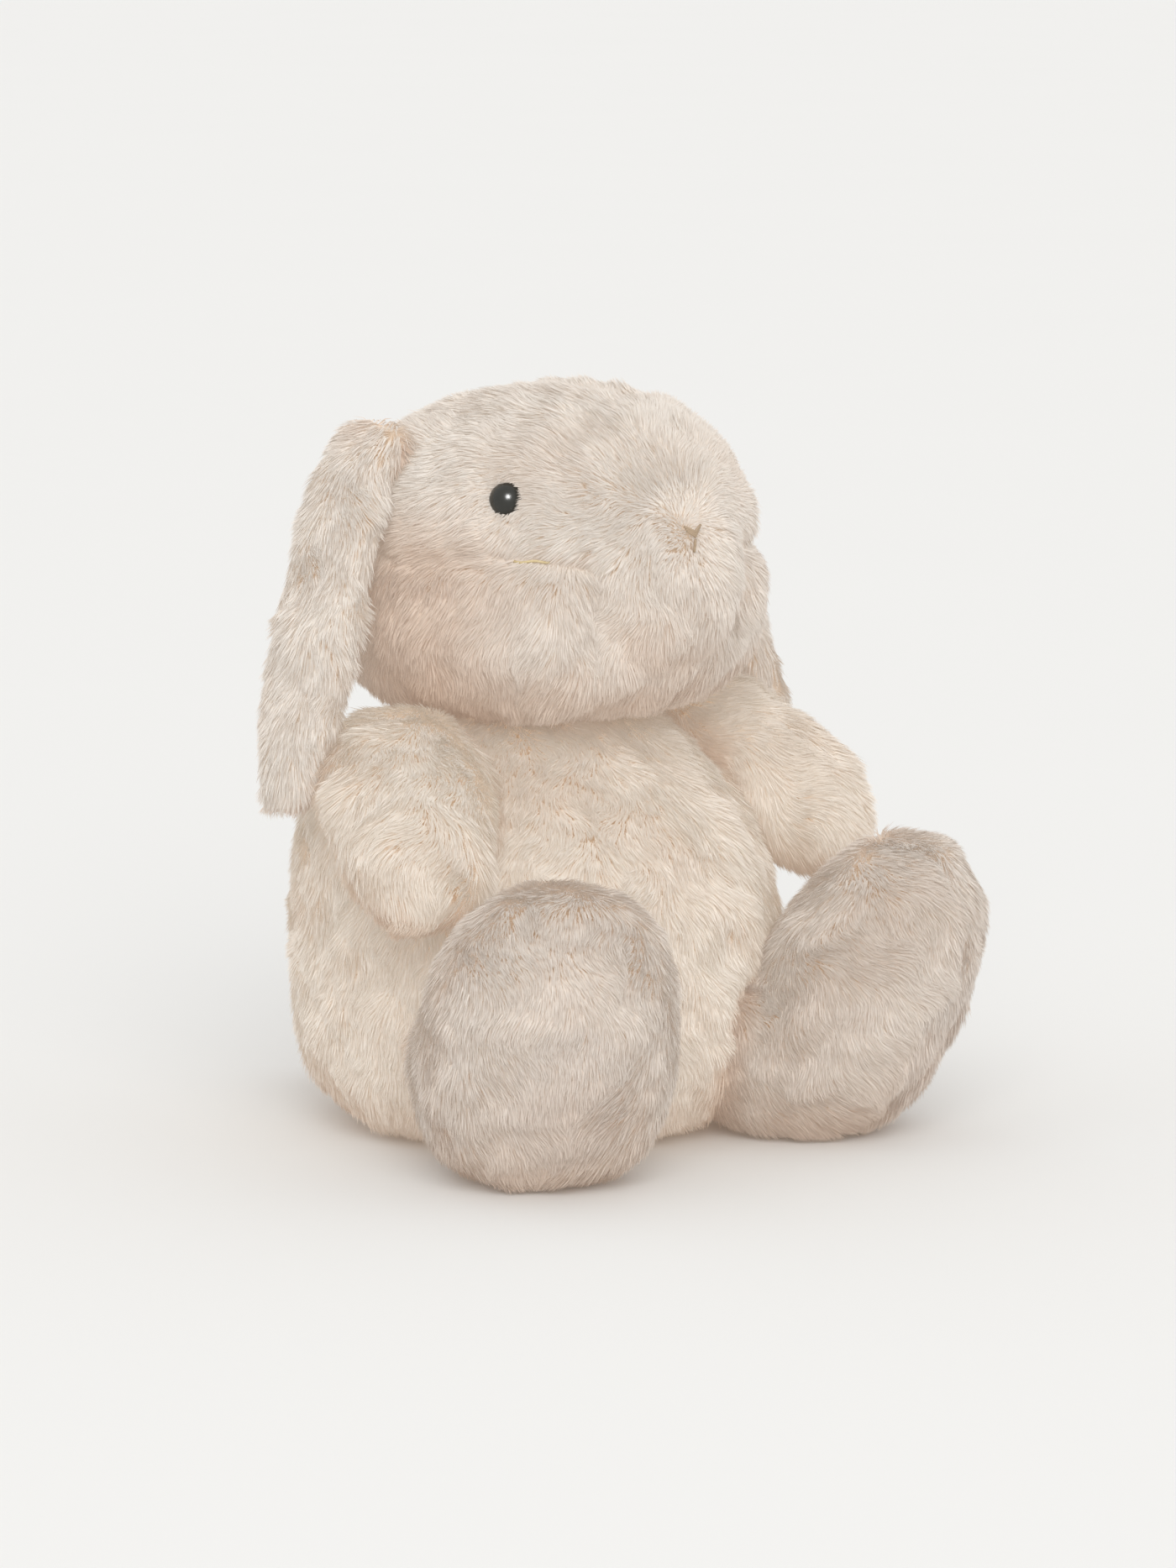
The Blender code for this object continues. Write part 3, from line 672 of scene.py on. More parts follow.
@dataclass
class Coat:
    """A coat of hair for one form: how long, how dense and how it is combed and clumped."""

    length: float = 0.0098
    width: float = 0.00060
    per_mm2: float = 3.4
    stand: float = 54.0
    lie: float = 20.0
    clump: float = 0.0045
    gather: float = 0.28
    drift: float = 34.0
    droop: float = 0.05
    # painted shade: how far the hair darkens towards its shaded colour where the skin lies close to
    # another form
    recess_shade: float = 0.55
    hidden: float = 0.005
    seed: int = 1
    finish: HairFinish = COAT_HAIR

    def grow(self, skin: Skin, comb: Callable[[Array, Array], Array],
             trim: Callable[[Array], Array] | None = None,
             painted_shade: Callable[[Array, Array], Array] | None = None) -> Strands:
        """Grows the hairs on a skin.

        Args:
            skin: The surface to plant.
            comb: Gives the combing direction at places with normals.
            trim: Gives a length share at each root, 0 for a bare spot.
            painted_shade: Gives a tone share at each root, lower being darker and warmer, as painted
                shade.

        Returns:
            The hairs.
        """
        rng = np.random.default_rng(self.seed)
        density = self.per_mm2 * 1.0
        roots, normals, recess, buried = skin.plant(density, rng)
        shares = trim(roots) if trim else np.ones(len(roots))
        kept = (shares > 0.12) & (buried < self.hidden)
        roots, normals, shares, recess = roots[kept], normals[kept], shares[kept], recess[kept]
        flow = comb(roots, normals)
        flow = unit(flow - (flow * normals).sum(axis=1, keepdims=True) * normals)
        turn = np.radians(self.drift * Ripple(self.seed + 7, 0.030).at(roots)
                          + 0.5 * self.drift * Ripple(self.seed + 8, 0.011).at(roots)
                          + rng.normal(0, 9, len(roots)))[:, None]
        across = np.cross(normals, flow)
        flow = flow * np.cos(turn) + across * np.sin(turn)
        length = (self.length * shares * rng.uniform(0.80, 1.10, len(roots))
                  * (1 + 0.14 * Ripple(self.seed + 9, 0.022).at(roots)))[:, None]
        ruffle = 7 * Ripple(self.seed + 10, 0.014).at(roots) + rng.normal(0, 5, len(roots))
        stand = np.radians(np.clip(self.stand + ruffle, 12, 85))[:, None]
        lie = np.radians(np.clip(self.lie + ruffle, -4, 70))[:, None]
        bends = roots + 0.5 * length * (np.cos(stand) * flow + np.sin(stand) * normals)
        tips = bends + 0.55 * length * (np.cos(lie) * flow + np.sin(lie) * normals)
        tips[:, 2] -= self.droop * length[:, 0]
        bends, tips = self.clumped(roots, bends, tips, rng)
        for line in (bends, tips):
            line[:, 2] = np.maximum(line[:, 2], FLOOR_GAP)
        tones_with_shade = np.clip(0.90 + 0.05 * Ripple(self.seed + 11, 0.05).at(roots)
                        + rng.normal(0, 0.05, len(roots)), 0.02, 0.98)
        # painted shade: hair close to another form is mixed towards its shaded colour
        tones_with_shade *= 1.0 - self.recess_shade * ramp(recess, 0.35, 1.0)
        # painted shade from the form's own tone share: undersides, and on the head the cheeks and jaw
        if painted_shade:
            tones_with_shade = np.clip(tones_with_shade * painted_shade(roots, normals), 0.02, 0.98)
        widths = self.width / math.sqrt(density / self.per_mm2) * rng.uniform(0.7, 1.2, len(roots))
        return Strands(roots - normals * ROOT_DEPTH, bends, tips, normals, widths, tones_with_shade)

    def clumped(self, roots: Array, bends: Array, tips: Array,
                rng: np.random.Generator) -> tuple[Array, Array]:
        """Draws the tips of neighbouring hairs together.

        Args:
            roots: Where the hairs start.
            bends: Their middles.
            tips: Their ends.
            rng: The seeded source of chance.

        Returns:
            The moved middles and ends.
        """
        warp = np.stack([Ripple(self.seed + 20 + k, 0.017).at(roots) for k in range(3)], axis=1)
        for size, pull in ((self.clump, self.gather), (self.clump * 0.45, self.gather * 0.5)):
            cells = np.floor((roots + warp * 0.0022) / size).astype(np.int64)
            keys = (cells * np.array([73856093, 19349663, 83492791])).sum(axis=1)
            _, member, counts = np.unique(keys, return_inverse=True, return_counts=True)
            member = member.reshape(-1)
            means = []
            for line in (bends, tips):
                total = np.stack([np.bincount(member, line[:, k]) for k in range(3)], axis=1)
                means.append((total / counts[:, None])[member])
            share = (pull * rng.uniform(0.4, 1.3, len(counts)))[member][:, None]
            bends = bends + (means[0] - bends) * 0.35 * share
            tips = tips + (means[1] - tips) * np.minimum(share, 0.95)
        return bends, tips


def hair_mesh(name: str, hairs: Strands, seed: int) -> bpy.types.Mesh:
    """One mesh of hairs, each a copy of the flat template laid along its line.

    Args:
        name: The mesh's name.
        hairs: The hairs.
        seed: Seeds each hair's roll about its own line.

    Returns:
        The mesh, with its own map and soft normals.
    """
    template, faces = leaf_template()
    rng = np.random.default_rng(seed)
    count, size = len(hairs.roots), len(template)
    way = unit(hairs.tips - hairs.roots)
    flat = unit(np.cross(way, hairs.normals))
    roll = np.radians(rng.uniform(-40, 40, count))[:, None]
    side = unit(flat * np.cos(roll) + np.cross(way, flat) * np.sin(roll))
    face = unit(np.cross(side, way))
    face *= np.sign((face * hairs.normals).sum(axis=1, keepdims=True) + 1e-9)
    lines = {0.0: hairs.roots, 0.5: hairs.bends, 1.0: hairs.tips}
    points = np.empty((count, size, 3))
    normals = np.empty((count, size, 3))
    chart = np.empty((size, count, 2))
    stray = rng.normal(0, 0.22, (count, 3))
    for index, (across, along) in enumerate(template):
        points[:, index] = lines[round(float(along), 1)] + side * (hairs.widths * across)[:, None]
        normals[:, index] = unit(0.12 * hairs.normals + face + 0.3 * stray + side * across * 0.4)
        # the map's across share carries each hair's tone with its painted shade
        chart[index, :, 0] = np.clip(hairs.tones_with_shade + across * 0.012, 0.001, 0.999)
        chart[index, :, 1] = 0.01 + 0.98 * along
    sizes = np.array([len(face) for face in faces])
    corners = np.concatenate([np.array(face) for face in faces])
    vertex_of = (np.arange(count)[:, None] * size + corners[None, :]).ravel()
    loops_each, faces_each = len(corners), len(faces)
    first_loops = np.concatenate([[0], np.cumsum(sizes)[:-1]])
    starts = np.arange(count)[:, None] * loops_each + first_loops[None, :]
    mesh = bpy.data.meshes.new(name)
    mesh.vertices.add(count * size)
    mesh.vertices.foreach_set("co", points.astype(np.float32).ravel())
    mesh.loops.add(count * loops_each)
    mesh.loops.foreach_set("vertex_index", vertex_of.astype(np.int32))
    mesh.polygons.add(count * faces_each)
    mesh.polygons.foreach_set("loop_start", starts.astype(np.int32).ravel())
    mesh.polygons.foreach_set("use_smooth", np.ones(count * faces_each, bool))
    mesh.update(calc_edges=True)
    layer = mesh.uv_layers.new(name=BAKE_MAP)
    per_loop = chart[corners].transpose(1, 0, 2).reshape(-1, 2)
    layer.data.foreach_set("uv", per_loop.astype(np.float32).ravel())
    turn_to(mesh, count, size, faces, points, hairs.normals)
    mesh.normals_split_custom_set_from_vertices(normals.reshape(-1, 3).astype(np.float32))
    return mesh


def turn_to(mesh: bpy.types.Mesh, count: int, size: int, faces: list[list[int]], points: Array,
            normals: Array) -> None:
    """Turns the whole mesh round if, taken over all hairs, the flat side faces into the skin.

    Args:
        mesh: The mesh.
        count: Number of hairs; not used.
        size: Points on each hair; not used.
        faces: The template's faces.
        points: Every hair's points.
        normals: The skin's normals there.
    """
    a, b, c = (points[:, faces[0][k]] for k in range(3))
    if (np.cross(b - a, c - a) * normals).sum() < 0:
        mesh.flip_normals()


def hair_pieces(name: str, hairs: Strands, finish: HairFinish, body: str, slot: str,
                middle: Sequence[float]) -> list[bpy.types.Object]:
    """Makes the hair of a form into pieces of at most MOST_TRIANGLES triangles each.

    Args:
        name: The form's name.
        hairs: Its hairs.
        finish: Their look.
        body: The body that they move with.
        slot: The record's material slot; not used.
        middle: The point about which the form is divided into sectors.

    Returns:
        The pieces.
    """
    triangles = 2 * len(hairs.roots)
    parts = max(1, math.ceil(triangles / MOST_TRIANGLES))
    around = np.arctan2(hairs.roots[:, 1] - middle[1], hairs.roots[:, 0] - middle[0])
    order = np.argsort(around, kind="stable")
    pieces = []
    for number, chosen in enumerate(np.array_split(order, parts), start=1):
        label = f"{name}_hair_{number}" if parts > 1 else f"{name}_hair"
        mesh = hair_mesh(label, hairs.part(chosen), len(hairs.roots) + number)
        piece = link_mesh(label, mesh, finish.material())
        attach(piece, body)
        pieces.append(piece)
    LOG.info("%s: %d hairs in %d pieces", name, len(hairs.roots), parts)
    return pieces


# ------------------------------------------------------------------ forms


def rounded(angle: float, power: float) -> tuple[float, float]:
    """Reach and rise at an angle of a quarter round that grows boxier with its power.

    Args:
        angle: The angle in radians.
        power: 2 for a round, more for a boxier shape.

    Returns:
        The reach and the rise, each a share of the full one.
    """
    share = 2.0 / power
    rise = abs(math.sin(angle)) ** share
    return abs(math.cos(angle)) ** share, math.copysign(rise, math.sin(angle))


def angles_of(way: Vector) -> tuple[float, float]:
    """Latitude and direction round the upright axis of a unit vector."""
    return math.asin(max(-1.0, min(1.0, way.z))), math.atan2(way.y, way.x)


@dataclass
class Form:
    """A stuffed form: its name, its body, the nodes it stands for and how it is made."""

    name: str
    body: str
    nodes: tuple[str, ...]
    coat: Coat
    flow: Flow
    slot: str = "cream_fur"
    fill: float = 0.9
    inset: float = 0.0030
    voxel: float = 0.005
    pressure: float = 4.0
    cap: float = 0.003
    deepest: float = 1.0
    skin_piece: bpy.types.Object = field(init=False)
    skin: Skin = field(init=False)

    def raw_mesh(self, objects: dict[str, bpy.types.Object]) -> bpy.types.Mesh:
        """The form's outer shape before its fur is taken off."""
        return joined_nodes(self.name, self.nodes, objects)

    def shape(self) -> None:
        """Adds the form's own dents and bulges to its skin."""

    def build_skin(self, objects: dict[str, bpy.types.Object]) -> None:
        """Makes the padded skin.

        Args:
            objects: The model's nodes by name.
        """
        piece = link_mesh(f"{self.name}_plush", self.raw_mesh(objects), BACKING.material())
        self.skin_piece = piece
        remesh(piece, self.voxel, 6)
        sink(piece.data, self.inset + 0.4 * self.cap)
        puff(piece, self.pressure, self.cap)
        finer = piece.modifiers.new("finer", "SUBSURF")
        finer.levels = finer.render_levels = 1
        apply_modifiers(piece)
        self.shape()
        sink(piece.data, 0.0)
        piece.data.shade_smooth()
        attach(piece, self.body)
        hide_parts(*self.nodes)
        self.skin = Skin(piece.data, self.deepest)
        LOG.info("%s: skin of %d faces", self.name, len(piece.data.polygons))

    def comb(self, places: Array, normals: Array) -> Array:
        """Combing direction at places on the form.

        Args:
            places: The places, a row each.
            normals: The skin's normals there.

        Returns:
            The directions, a row each.
        """
        if self.flow is Flow.OUT:
            return places - self.middle() + normals * 0.2
        return np.tile((0.0, 0.0, -1.0), (len(places), 1))

    def trim(self, places: Array) -> Array:
        """Hair length share at places on the form."""
        return np.ones(len(places))

    def painted_shade(self, places: Array, normals: Array) -> Array:
        """Hair tone share at places on the form, as painted shade: where the skin faces down the hair is
        darker and warmer.
        """
        under = ramp(-normals[:, 2], 0.1, 0.9)
        return 1.0 - 0.45 * under

    def middle(self) -> Array:
        """The middle of the skin's box."""
        return (self.skin.points.min(axis=0) + self.skin.points.max(axis=0)) / 2

    def grow(self) -> None:
        """Grows the form's coat."""
        hairs = self.coat.grow(self.skin, self.comb, self.trim, self.painted_shade)
        hair_pieces(self.name, hairs, self.coat.finish, self.body, self.slot, self.middle())


@dataclass
class Trunk(Form):
    """The round trunk with its flat seat."""

    belly_power: float = 2.15
    back_power: float = 2.6
    seat_power: float = 3.4
    waist: float = 0.072
    neck_rise: float = 0.021
    neck_reach: float = 0.062
    shoulder: float = 0.013

    def raw_mesh(self, objects: dict[str, bpy.types.Object]) -> bpy.types.Mesh:
        """A whole trunk without the dimples that the limbs turn in.

        Args:
            objects: The model's nodes by name.

        Returns:
            The closed mesh.
        """
        front_low, front_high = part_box("body_front_skin")
        back_low, back_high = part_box("body_back_skin")
        side = (front_high[0] - front_low[0]) / 2
        belly, back, top = -front_low[1], back_high[1], back_high[2]

        def rule(way: Vector) -> Vector:
            """The surface's point in a direction.

            Args:
                way: A direction of length one.

            Returns:
                The surface's point there.
            """
            latitude, around = angles_of(way)
            share = 0.5 + 0.5 * math.sin(around)
            power = self.belly_power + (self.back_power - self.belly_power) * share
            power = power if way.z > 0 else self.seat_power
            reach, rise = rounded(latitude, power)
            depth = belly + (back - belly) * share
            height = self.waist + rise * ((top - self.waist) if way.z > 0 else self.waist + 0.004)
            if way.z > 0:
                height += self.neck_rise * math.exp(-(side * reach / self.neck_reach) ** 2)
            return Vector((side * reach * math.cos(around), depth * reach * math.sin(around),
                           max(0.0, height)))
        return ball_mesh(self.name, rule, 48, 28)

    def shape(self) -> None:
        """Rounds the shoulders behind the arms."""
        mesh = self.skin_piece.data
        points, normals = points_of(mesh), normals_of(mesh)
        for _, side in Sides:
            gap = np.linalg.norm(points - np.array((side * 0.066, 0.022, 0.134)), axis=1)
            points += normals * (self.shoulder * np.exp(-(gap / 0.030) ** 2))[:, None]
        set_points(mesh, points)

    def comb(self, places: Array, normals: Array) -> Array:
        """Down the trunk, drifting outwards from the front.

        Args:
            places: The places, a row each.
            normals: The skin's normals there.

        Returns:
            The directions, a row each.
        """
        flow = np.tile((0.0, 0.0, -1.0), (len(places), 1))
        flow[:, 0] += 2.0 * places[:, 0]
        return flow


@dataclass
class Head(Form):
    """The large round head, with jowls, a muzzle and dents for the eyes."""

    crown_power: float = 2.45
    jowl_power: float = 3.1
    eye_azimuth: float = 56.0
    eye_rise: float = 0.0285
    nose_rise: float = 0.0125
    ear_root: tuple[float, float, float] = (0.0690, 0.0110, 0.2660)

    def __post_init__(self) -> None:
        """Takes the head's size and place from its nodes."""
        face_low, face_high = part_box("head_face_skin")
        _, back_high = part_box("head_back_skin")
        self.half_width = (face_high[0] - face_low[0]) / 2
        self.half_length = (back_high[1] - face_low[1]) / 2
        self.half_height = 0.0645
        self.centre = Vector((0.0, (back_high[1] + face_low[1]) / 2, face_high[2] - self.half_height))

    def raw_mesh(self, objects: dict[str, bpy.types.Object]) -> bpy.types.Mesh:
        """The plain loaf of the head.

        Args:
            objects: The model's nodes by name.

        Returns:
            The closed mesh.
        """
        def rule(way: Vector) -> Vector:
            """The surface's point in a direction.

            Args:
                way: A direction of length one.

            Returns:
                The surface's point there.
            """
            latitude, around = angles_of(way)
            reach, rise = rounded(latitude, self.crown_power if way.z > 0 else self.jowl_power)
            return self.centre + Vector((self.half_width * reach * math.cos(around),
                                         self.half_length * reach * math.sin(around),
                                         self.half_height * rise))
        return ball_mesh(self.name, rule, 48, 28)

    def surface(self, azimuth: float, height: float) -> Vector:
        """A point of the outer surface, its azimuth in degrees from the nose towards +X.

        Args:
            azimuth: Degrees from the front towards +X.
            height: Height above the middle.

        Returns:
            The point.
        """
        share = min(1.0, abs(height) / self.half_height)
        power = self.crown_power if height > 0 else self.jowl_power
        reach = (1.0 - share ** power) ** (1.0 / power)
        turn = math.radians(azimuth)
        return self.centre + Vector((self.half_width * reach * math.sin(turn),
                                     -self.half_length * reach * math.cos(turn), height))

    def bearings(self, places: Array) -> tuple[Array, Array]:
        """Azimuth from the nose in degrees and height above the middle, for each place."""
        local = places - np.array(self.centre)
        return np.degrees(np.arctan2(local[:, 0], -local[:, 1])), local[:, 2]

    def shape(self) -> None:
        """Jowls, muzzle, the crease between them, the pull of the eye threads and the ears' roots."""
        mesh = self.skin_piece.data
        points, normals = points_of(mesh), normals_of(mesh)
        azimuth, height = self.bearings(points)
        turn = np.abs(azimuth)
        jowl = ramp(turn, 24, 48) * (1 - ramp(turn, 112, 140)) * bump(height, -0.026, 0.026)
        muzzle = (1 - ramp(np.hypot(turn / 25, (height + 0.006) / 0.027), 0.55, 1.15))
        crease_line = 0.003 + 0.0025 * np.sin(np.radians(azimuth * 5))
        crease = bump(height, crease_line, 0.0055) * ramp(turn, 20, 30) * (1 - ramp(turn, 86, 112))
        edge = bump(turn, 28, 5.5) * bump(height, -0.014, 0.020)
        nape = ramp(turn, 96, 122) * bump(height, -0.036, 0.020)
        move = 0.0052 * jowl + 0.0060 * muzzle - 0.0044 * crease - 0.0034 * edge + 0.0068 * nape
        for side in (-1, 1):
            eye = np.array(self.surface(side * self.eye_azimuth, self.eye_rise))
            gap = np.linalg.norm(points - eye, axis=1)
            move -= 0.0022 * np.exp(-(gap / 0.013) ** 2)
        nose = np.array(self.surface(0, self.nose_rise))
        move -= 0.0022 * np.exp(-(np.linalg.norm(points - nose, axis=1) / 0.009) ** 2)
        points = points + normals * move[:, None]
        for _, side in Sides:
            root = np.array((side * self.ear_root[0], self.ear_root[1], self.ear_root[2]))
            gap = np.linalg.norm(points - root, axis=1)
            pull = 0.85 * np.exp(-((gap - gap.min()) / 0.007) ** 2)
            points += (root - points) * pull[:, None]
        set_points(mesh, points)

    def comb(self, places: Array, normals: Array) -> Array:
        """Away from the nose, back over the crown and down the jowls.

        Args:
            places: The places, a row each.
            normals: The skin's normals there.

        Returns:
            The directions, a row each.
        """
        nose = np.array(self.surface(0, self.nose_rise))
        away = unit(places - nose)
        _, height = self.bearings(places)
        low = (1 - ramp(height, -0.010, 0.022))[:, None]
        return away * (1 - 0.55 * low) + np.array((0.0, 0.0, -1.0)) * (0.25 + 1.0 * low)

    def painted_shade(self, places: Array, normals: Array) -> Array:
        """Painted shade: darker and warmer on the cheeks towards the ears and under the jowls.

        Args:
            places: The places, a row each.
            normals: The skin's normals there.

        Returns:
            The tone shares.
        """
        azimuth, height = self.bearings(places)
        turn = np.abs(azimuth)
        cheek = ramp(turn, 40, 80) * (1 - ramp(turn, 92, 120)) * (1 - ramp(height, 0.000, 0.030))
        jaw = 1 - ramp(height, -0.020, 0.015)
        return super().painted_shade(places, normals) * (1 - 0.50 * cheek) * (1 - 0.10 * jaw)

    def trim(self, places: Array) -> Array:
        """Bare under the eyes and short round them and round the nose.

        Args:
            places: The places, a row each.

        Returns:
            The length shares.
        """
        shares = np.ones(len(places))
        for side in (-1, 1):
            eye = np.array(self.surface(side * self.eye_azimuth, self.eye_rise))
            gap = np.linalg.norm(places - eye, axis=1)
            shares *= ramp(gap, 0.0072, 0.0080) * (0.45 + 0.55 * ramp(gap, 0.008, 0.020))
        nose = np.array(self.surface(0, self.nose_rise - 0.002))
        gap = np.linalg.norm(places - nose, axis=1)
        shares *= 0.45 + 0.55 * ramp(gap, 0.004, 0.016)
        return shares


@dataclass
class Limb(Form):
    """An arm or a leg, combed towards its end."""

    sole: bool = False
    shoulder: float = 0.006

    def shape(self) -> None:
        """A leg is lower between the hip and the foot, and an arm is fuller at the shoulder."""
        mesh = self.skin_piece.data
        points = points_of(mesh)
        if not self.sole:
            top = points[:, 2].max()
            fuller = self.shoulder * ramp(points[:, 2], top - 0.045, top - 0.012)
            set_points(mesh, points + normals_of(mesh) * fuller[:, None])
            return
        outwards = self.outwards()
        reach = points @ outwards - 0.5 * (points.min(axis=0) + points.max(axis=0)) @ outwards
        points[:, 2] -= 0.004 * bump(reach, -0.020, 0.020) * ramp(points[:, 2], 0.040, 0.070)
        set_points(mesh, points)

    def outwards(self) -> Array:
        """The level direction from the trunk to the limb's middle.

        Returns:
            The direction, of length one.
        """
        points = points_of(self.skin_piece.data)
        middle = (points.min(axis=0) + points.max(axis=0)) / 2
        middle[2] = 0.0
        return middle / np.linalg.norm(middle)

    def comb(self, places: Array, normals: Array) -> Array:
        """Outwards along the limb and down."""
        down = np.tile((0.0, 0.0, -0.8), (len(places), 1))
        return down + self.outwards() * (0.35 if self.sole else 0.8)

    def on_sole(self, places: Array) -> Array:
        """Which places lie over the sole panel rather than the leg's skin.

        Args:
            places: The places, a row each.

        Returns:
            True for each place over the sole.
        """
        gaps = []
        for node in self.nodes[:2]:
            shell = bmesh.new()
            shell.from_mesh(bpy.data.objects[node].data)
            panel = BVHTree.FromBMesh(shell)
            gaps.append([panel.find_nearest(Vector(place))[3] for place in places])
            shell.free()
        return np.array(gaps[1]) < np.array(gaps[0])

    def grow(self) -> None:
        """Grows the coat, with the sole's hair as a piece of its own."""
        if not self.sole:
            super().grow()
            return
        hairs = self.coat.grow(self.skin, self.comb, self.trim, self.painted_shade)
        sole = self.on_sole(hairs.roots)
        # painted shade: the leg's hair takes the darker copy of the cream hair
        hair_pieces(self.name, hairs.part(~sole), SHADED_LEG_HAIR, self.body, self.slot, self.middle())
        hair_pieces(f"{self.name}_sole", hairs.part(sole), SOLE_HAIR, self.body, "sole_fur", self.middle())

    def trim(self, places: Array) -> Array:
        """A little shorter on the sole.

        Args:
            places: The places, a row each.

        Returns:
            The length shares.
        """
        if not self.sole:
            return np.ones(len(places))
        reach = (places - self.middle()) @ self.outwards()
        return 1.0 - 0.15 * ramp(reach, 0.03, 0.05)


@dataclass
class Ear(Form):
    """A hanging ear, combed down to its tip with a ragged front edge."""

    lean: float = 0.0
    forward: float = 0.0
    outward: float = 0.0

    def shape(self) -> None:
        """Lets the ear swing forward and aside towards its tip."""
        mesh = self.skin_piece.data
        points = points_of(mesh)
        top, low = points[:, 2].max(), points[:, 2].min()
        share = ((top - points[:, 2]) / (top - low)) ** 1.5
        points[:, 1] -= self.lean * (1 - share) + self.forward * share
        crest = 1 - ramp(top - points[:, 2], 0.0, 0.024)
        points[:, 0] -= np.sign(points[:, 0].mean()) * 0.005 * crest
        points[:, 2] += 0.0015 * crest
        points[:, 0] += self.outward * share
        set_points(mesh, points)

    def comb(self, places: Array, normals: Array) -> Array:
        """Down the ear and forwards towards its front edge.

        Args:
            places: The places, a row each.
            normals: The skin's normals there.

        Returns:
            The directions, a row each.
        """
        forward = 0.55 * ramp(-(places[:, 1] - self.middle()[1]), -0.005, 0.022)
        flow = np.tile((0.0, 0.0, -1.0), (len(places), 1))
        flow[:, 1] -= forward
        return flow


# ------------------------------------------------------------------ face


@dataclass
class Eyes:
    """Two glossy domes set in the fur on their posts."""

    head: Head
    radius: float = 0.0070
    depth: float = 0.0104

    def build(self) -> None:
        """Makes both domes, each a cap of a ball closed by a flat disc."""
        for word, side in Sides:
            spot = self.head.surface(side * self.head.eye_azimuth, self.head.eye_rise)
            across = self.head.surface(side * self.head.eye_azimuth + 0.5, self.head.eye_rise) - spot
            upwards = self.head.surface(side * self.head.eye_azimuth, self.head.eye_rise + 0.0005) - spot
            out = across.cross(upwards).normalized()
            level = UP.cross(out).normalized()
            turn = Matrix((level, out.cross(level), out)).transposed().to_4x4()
            place = Matrix.Translation(spot - out * self.depth) @ turn
            dome = bmesh.new()
            bmesh.ops.create_uvsphere(dome, u_segments=48, v_segments=32, radius=self.radius)
            bmesh.ops.bisect_plane(dome, geom=dome.verts[:] + dome.edges[:] + dome.faces[:],
                                   plane_co=(0, 0, -self.radius * 0.25), plane_no=(0, 0, -1),
                                   clear_outer=True)
            rim = [edge for edge in dome.edges if edge.is_boundary]
            bmesh.ops.edgeloop_fill(dome, edges=rim)
            bmesh.ops.transform(dome, matrix=place, verts=dome.verts)
            dome.normal_update()
            bmesh.ops.recalc_face_normals(dome, faces=dome.faces)
            mesh = bpy.data.meshes.new(f"eye_{word}_dome")
            dome.to_mesh(mesh)
            dome.free()
            mesh.shade_smooth()
            mesh.set_sharp_from_angle(angle=math.radians(50))
            piece = link_mesh(f"eye_{word}_dome", mesh, EYE_GLOSS.material())
            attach(piece, "head")
            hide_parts(f"eye_{word}")
        LOG.info("eyes: 2 domes")


